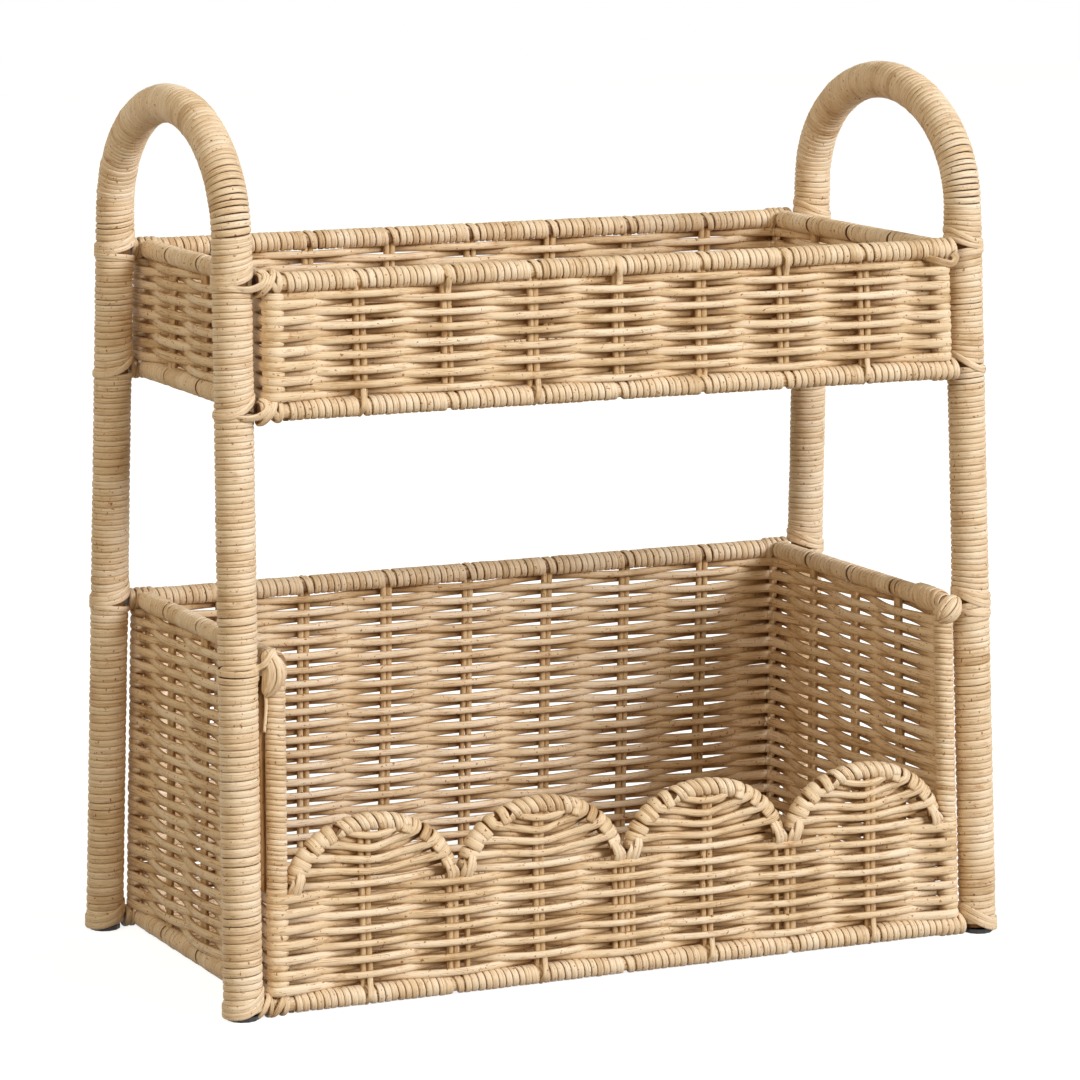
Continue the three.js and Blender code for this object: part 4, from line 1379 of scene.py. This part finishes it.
def plastic_material(name, colour):
    """Moulded plastic with a fine grain and a dull shine."""
    material = bpy.data.materials.new(name)
    material.use_nodes = True
    tree = material.node_tree
    shader = tree.nodes["Principled BSDF"]
    grain = noise(tree, add_node(tree, "ShaderNodeTexCoord"), GRAIN)
    tint = ramp(tree, grain, [(0.3, colour), (0.7, tuple(1.5 * c for c in colour))])
    tree.links.new(tint, shader.inputs["Base Color"])
    bump = add_node(tree, "ShaderNodeBump", {
        "Height": grain, "Strength": 0.2, "Distance": GRAIN_HEIGHT})
    tree.links.new(bump.outputs["Normal"], shader.inputs["Normal"])
    shader.inputs["Roughness"].default_value = 0.5
    return material


glide_black = plastic_material("glide_black", GLIDE_BLACK)
for name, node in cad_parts.items():
    if not node.hide_render:
        finish = glide_black if name.startswith("glide") else core_cane
        node.data.materials.clear()
        node.data.materials.append(finish)
        print("finished", name)

# %% [markdown]
# ## Floor, backdrop and light
#
# The photograph is a cut-out on white under soft light from the front right. The floor is warm pale
# paper that takes the shadow. Seen directly or in a reflection it also glows, so that it reads as
# white all the way back to the backdrop, and only the shadow stays. The lamps and the sky light the
# caddy as they would any other.

# %% Lay the floor
FLOOR_HALF = 6
WHITE = (1, 1, 1, 1)
WARM_PAPER = (0.27, 0.22, 0.15, 1)
SHADOW_SHARE = 0.5
GLOW = 0.86


def seen_directly(tree):
    """1 for camera, glossy and transmission rays, which should see the white background."""
    path = add_node(tree, "ShaderNodeLightPath").outputs
    either = calculated(tree, "MAXIMUM", path["Is Camera Ray"], path["Is Glossy Ray"])
    return calculated(tree, "MAXIMUM", either, path["Is Transmission Ray"])


floor_corners = [(x * FLOOR_HALF, y * FLOOR_HALF, 0)
                 for x, y in ((-1, -1), (1, -1), (1, 1), (-1, 1))]
floor_mesh = bpy.data.meshes.new("studio_floor")
floor_mesh.from_pydata(floor_corners, [], [(0, 1, 2, 3)])
floor = bpy.data.objects.new("studio_floor", floor_mesh)
bpy.context.scene.collection.objects.link(floor)
floor_white = bpy.data.materials.new("floor_white")
tree = empty_tree(floor_white)
paper = add_node(tree, "ShaderNodeBsdfDiffuse", {"Color": WARM_PAPER})
thin_paper = add_node(tree, "ShaderNodeBsdfDiffuse", {
    "Color": (SHADOW_SHARE, SHADOW_SHARE, SHADOW_SHARE, 1)})
glow = add_node(tree, "ShaderNodeEmission", {"Color": WHITE, "Strength": GLOW})
bright = add_node(tree, "ShaderNodeAddShader", {0: thin_paper.outputs[0], 1: glow.outputs[0]})
blend = add_node(tree, "ShaderNodeMixShader", {
    0: seen_directly(tree), 1: paper.outputs[0], 2: bright.outputs[0]})
add_node(tree, "ShaderNodeOutputMaterial", {"Surface": blend.outputs["Shader"]})
floor_mesh.materials.append(floor_white)
print("floor", 2 * FLOOR_HALF, "m square")

# %% Light it
SKY = 0.37
SKY_TINT = (1.0, 0.86, 0.57, 1)
DAYLIGHT = (0.92, 0.955, 1.0)
WARM_LIGHT = (1.0, 0.9, 0.74)
CADDY_MIDDLE = Vector((0, 0, 0.2))
world = bpy.data.worlds.new("studio")
bpy.context.scene.world = world
tree = empty_tree(world)
seen = add_node(tree, "ShaderNodeBackground", {"Color": WHITE, "Strength": 1.0})
sky = add_node(tree, "ShaderNodeBackground", {"Color": SKY_TINT, "Strength": SKY})
blend = add_node(tree, "ShaderNodeMixShader", {
    0: seen_directly(tree), 1: sky.outputs["Background"], 2: seen.outputs["Background"]})
add_node(tree, "ShaderNodeOutputWorld", {"Surface": blend.outputs["Shader"]})


def softbox(name, place, size, power, colour):
    """A square area lamp that looks at the middle of the caddy."""
    lamp = bpy.data.lights.new(name, "AREA")
    lamp.size, lamp.energy, lamp.color = size, power, colour
    made = bpy.data.objects.new(name, lamp)
    made.location = place
    made.rotation_euler = (CADDY_MIDDLE - made.location).to_track_quat("-Z", "Y").to_euler()
    bpy.context.scene.collection.objects.link(made)
    print(name, "of", power, "W")


softbox("key_lamp", place=(2.9, -4.7, 2.7), size=2.2, power=330, colour=DAYLIGHT)
softbox("fill_lamp", place=(-1.9, -1.2, 1.4), size=1.4, power=16, colour=WARM_LIGHT)
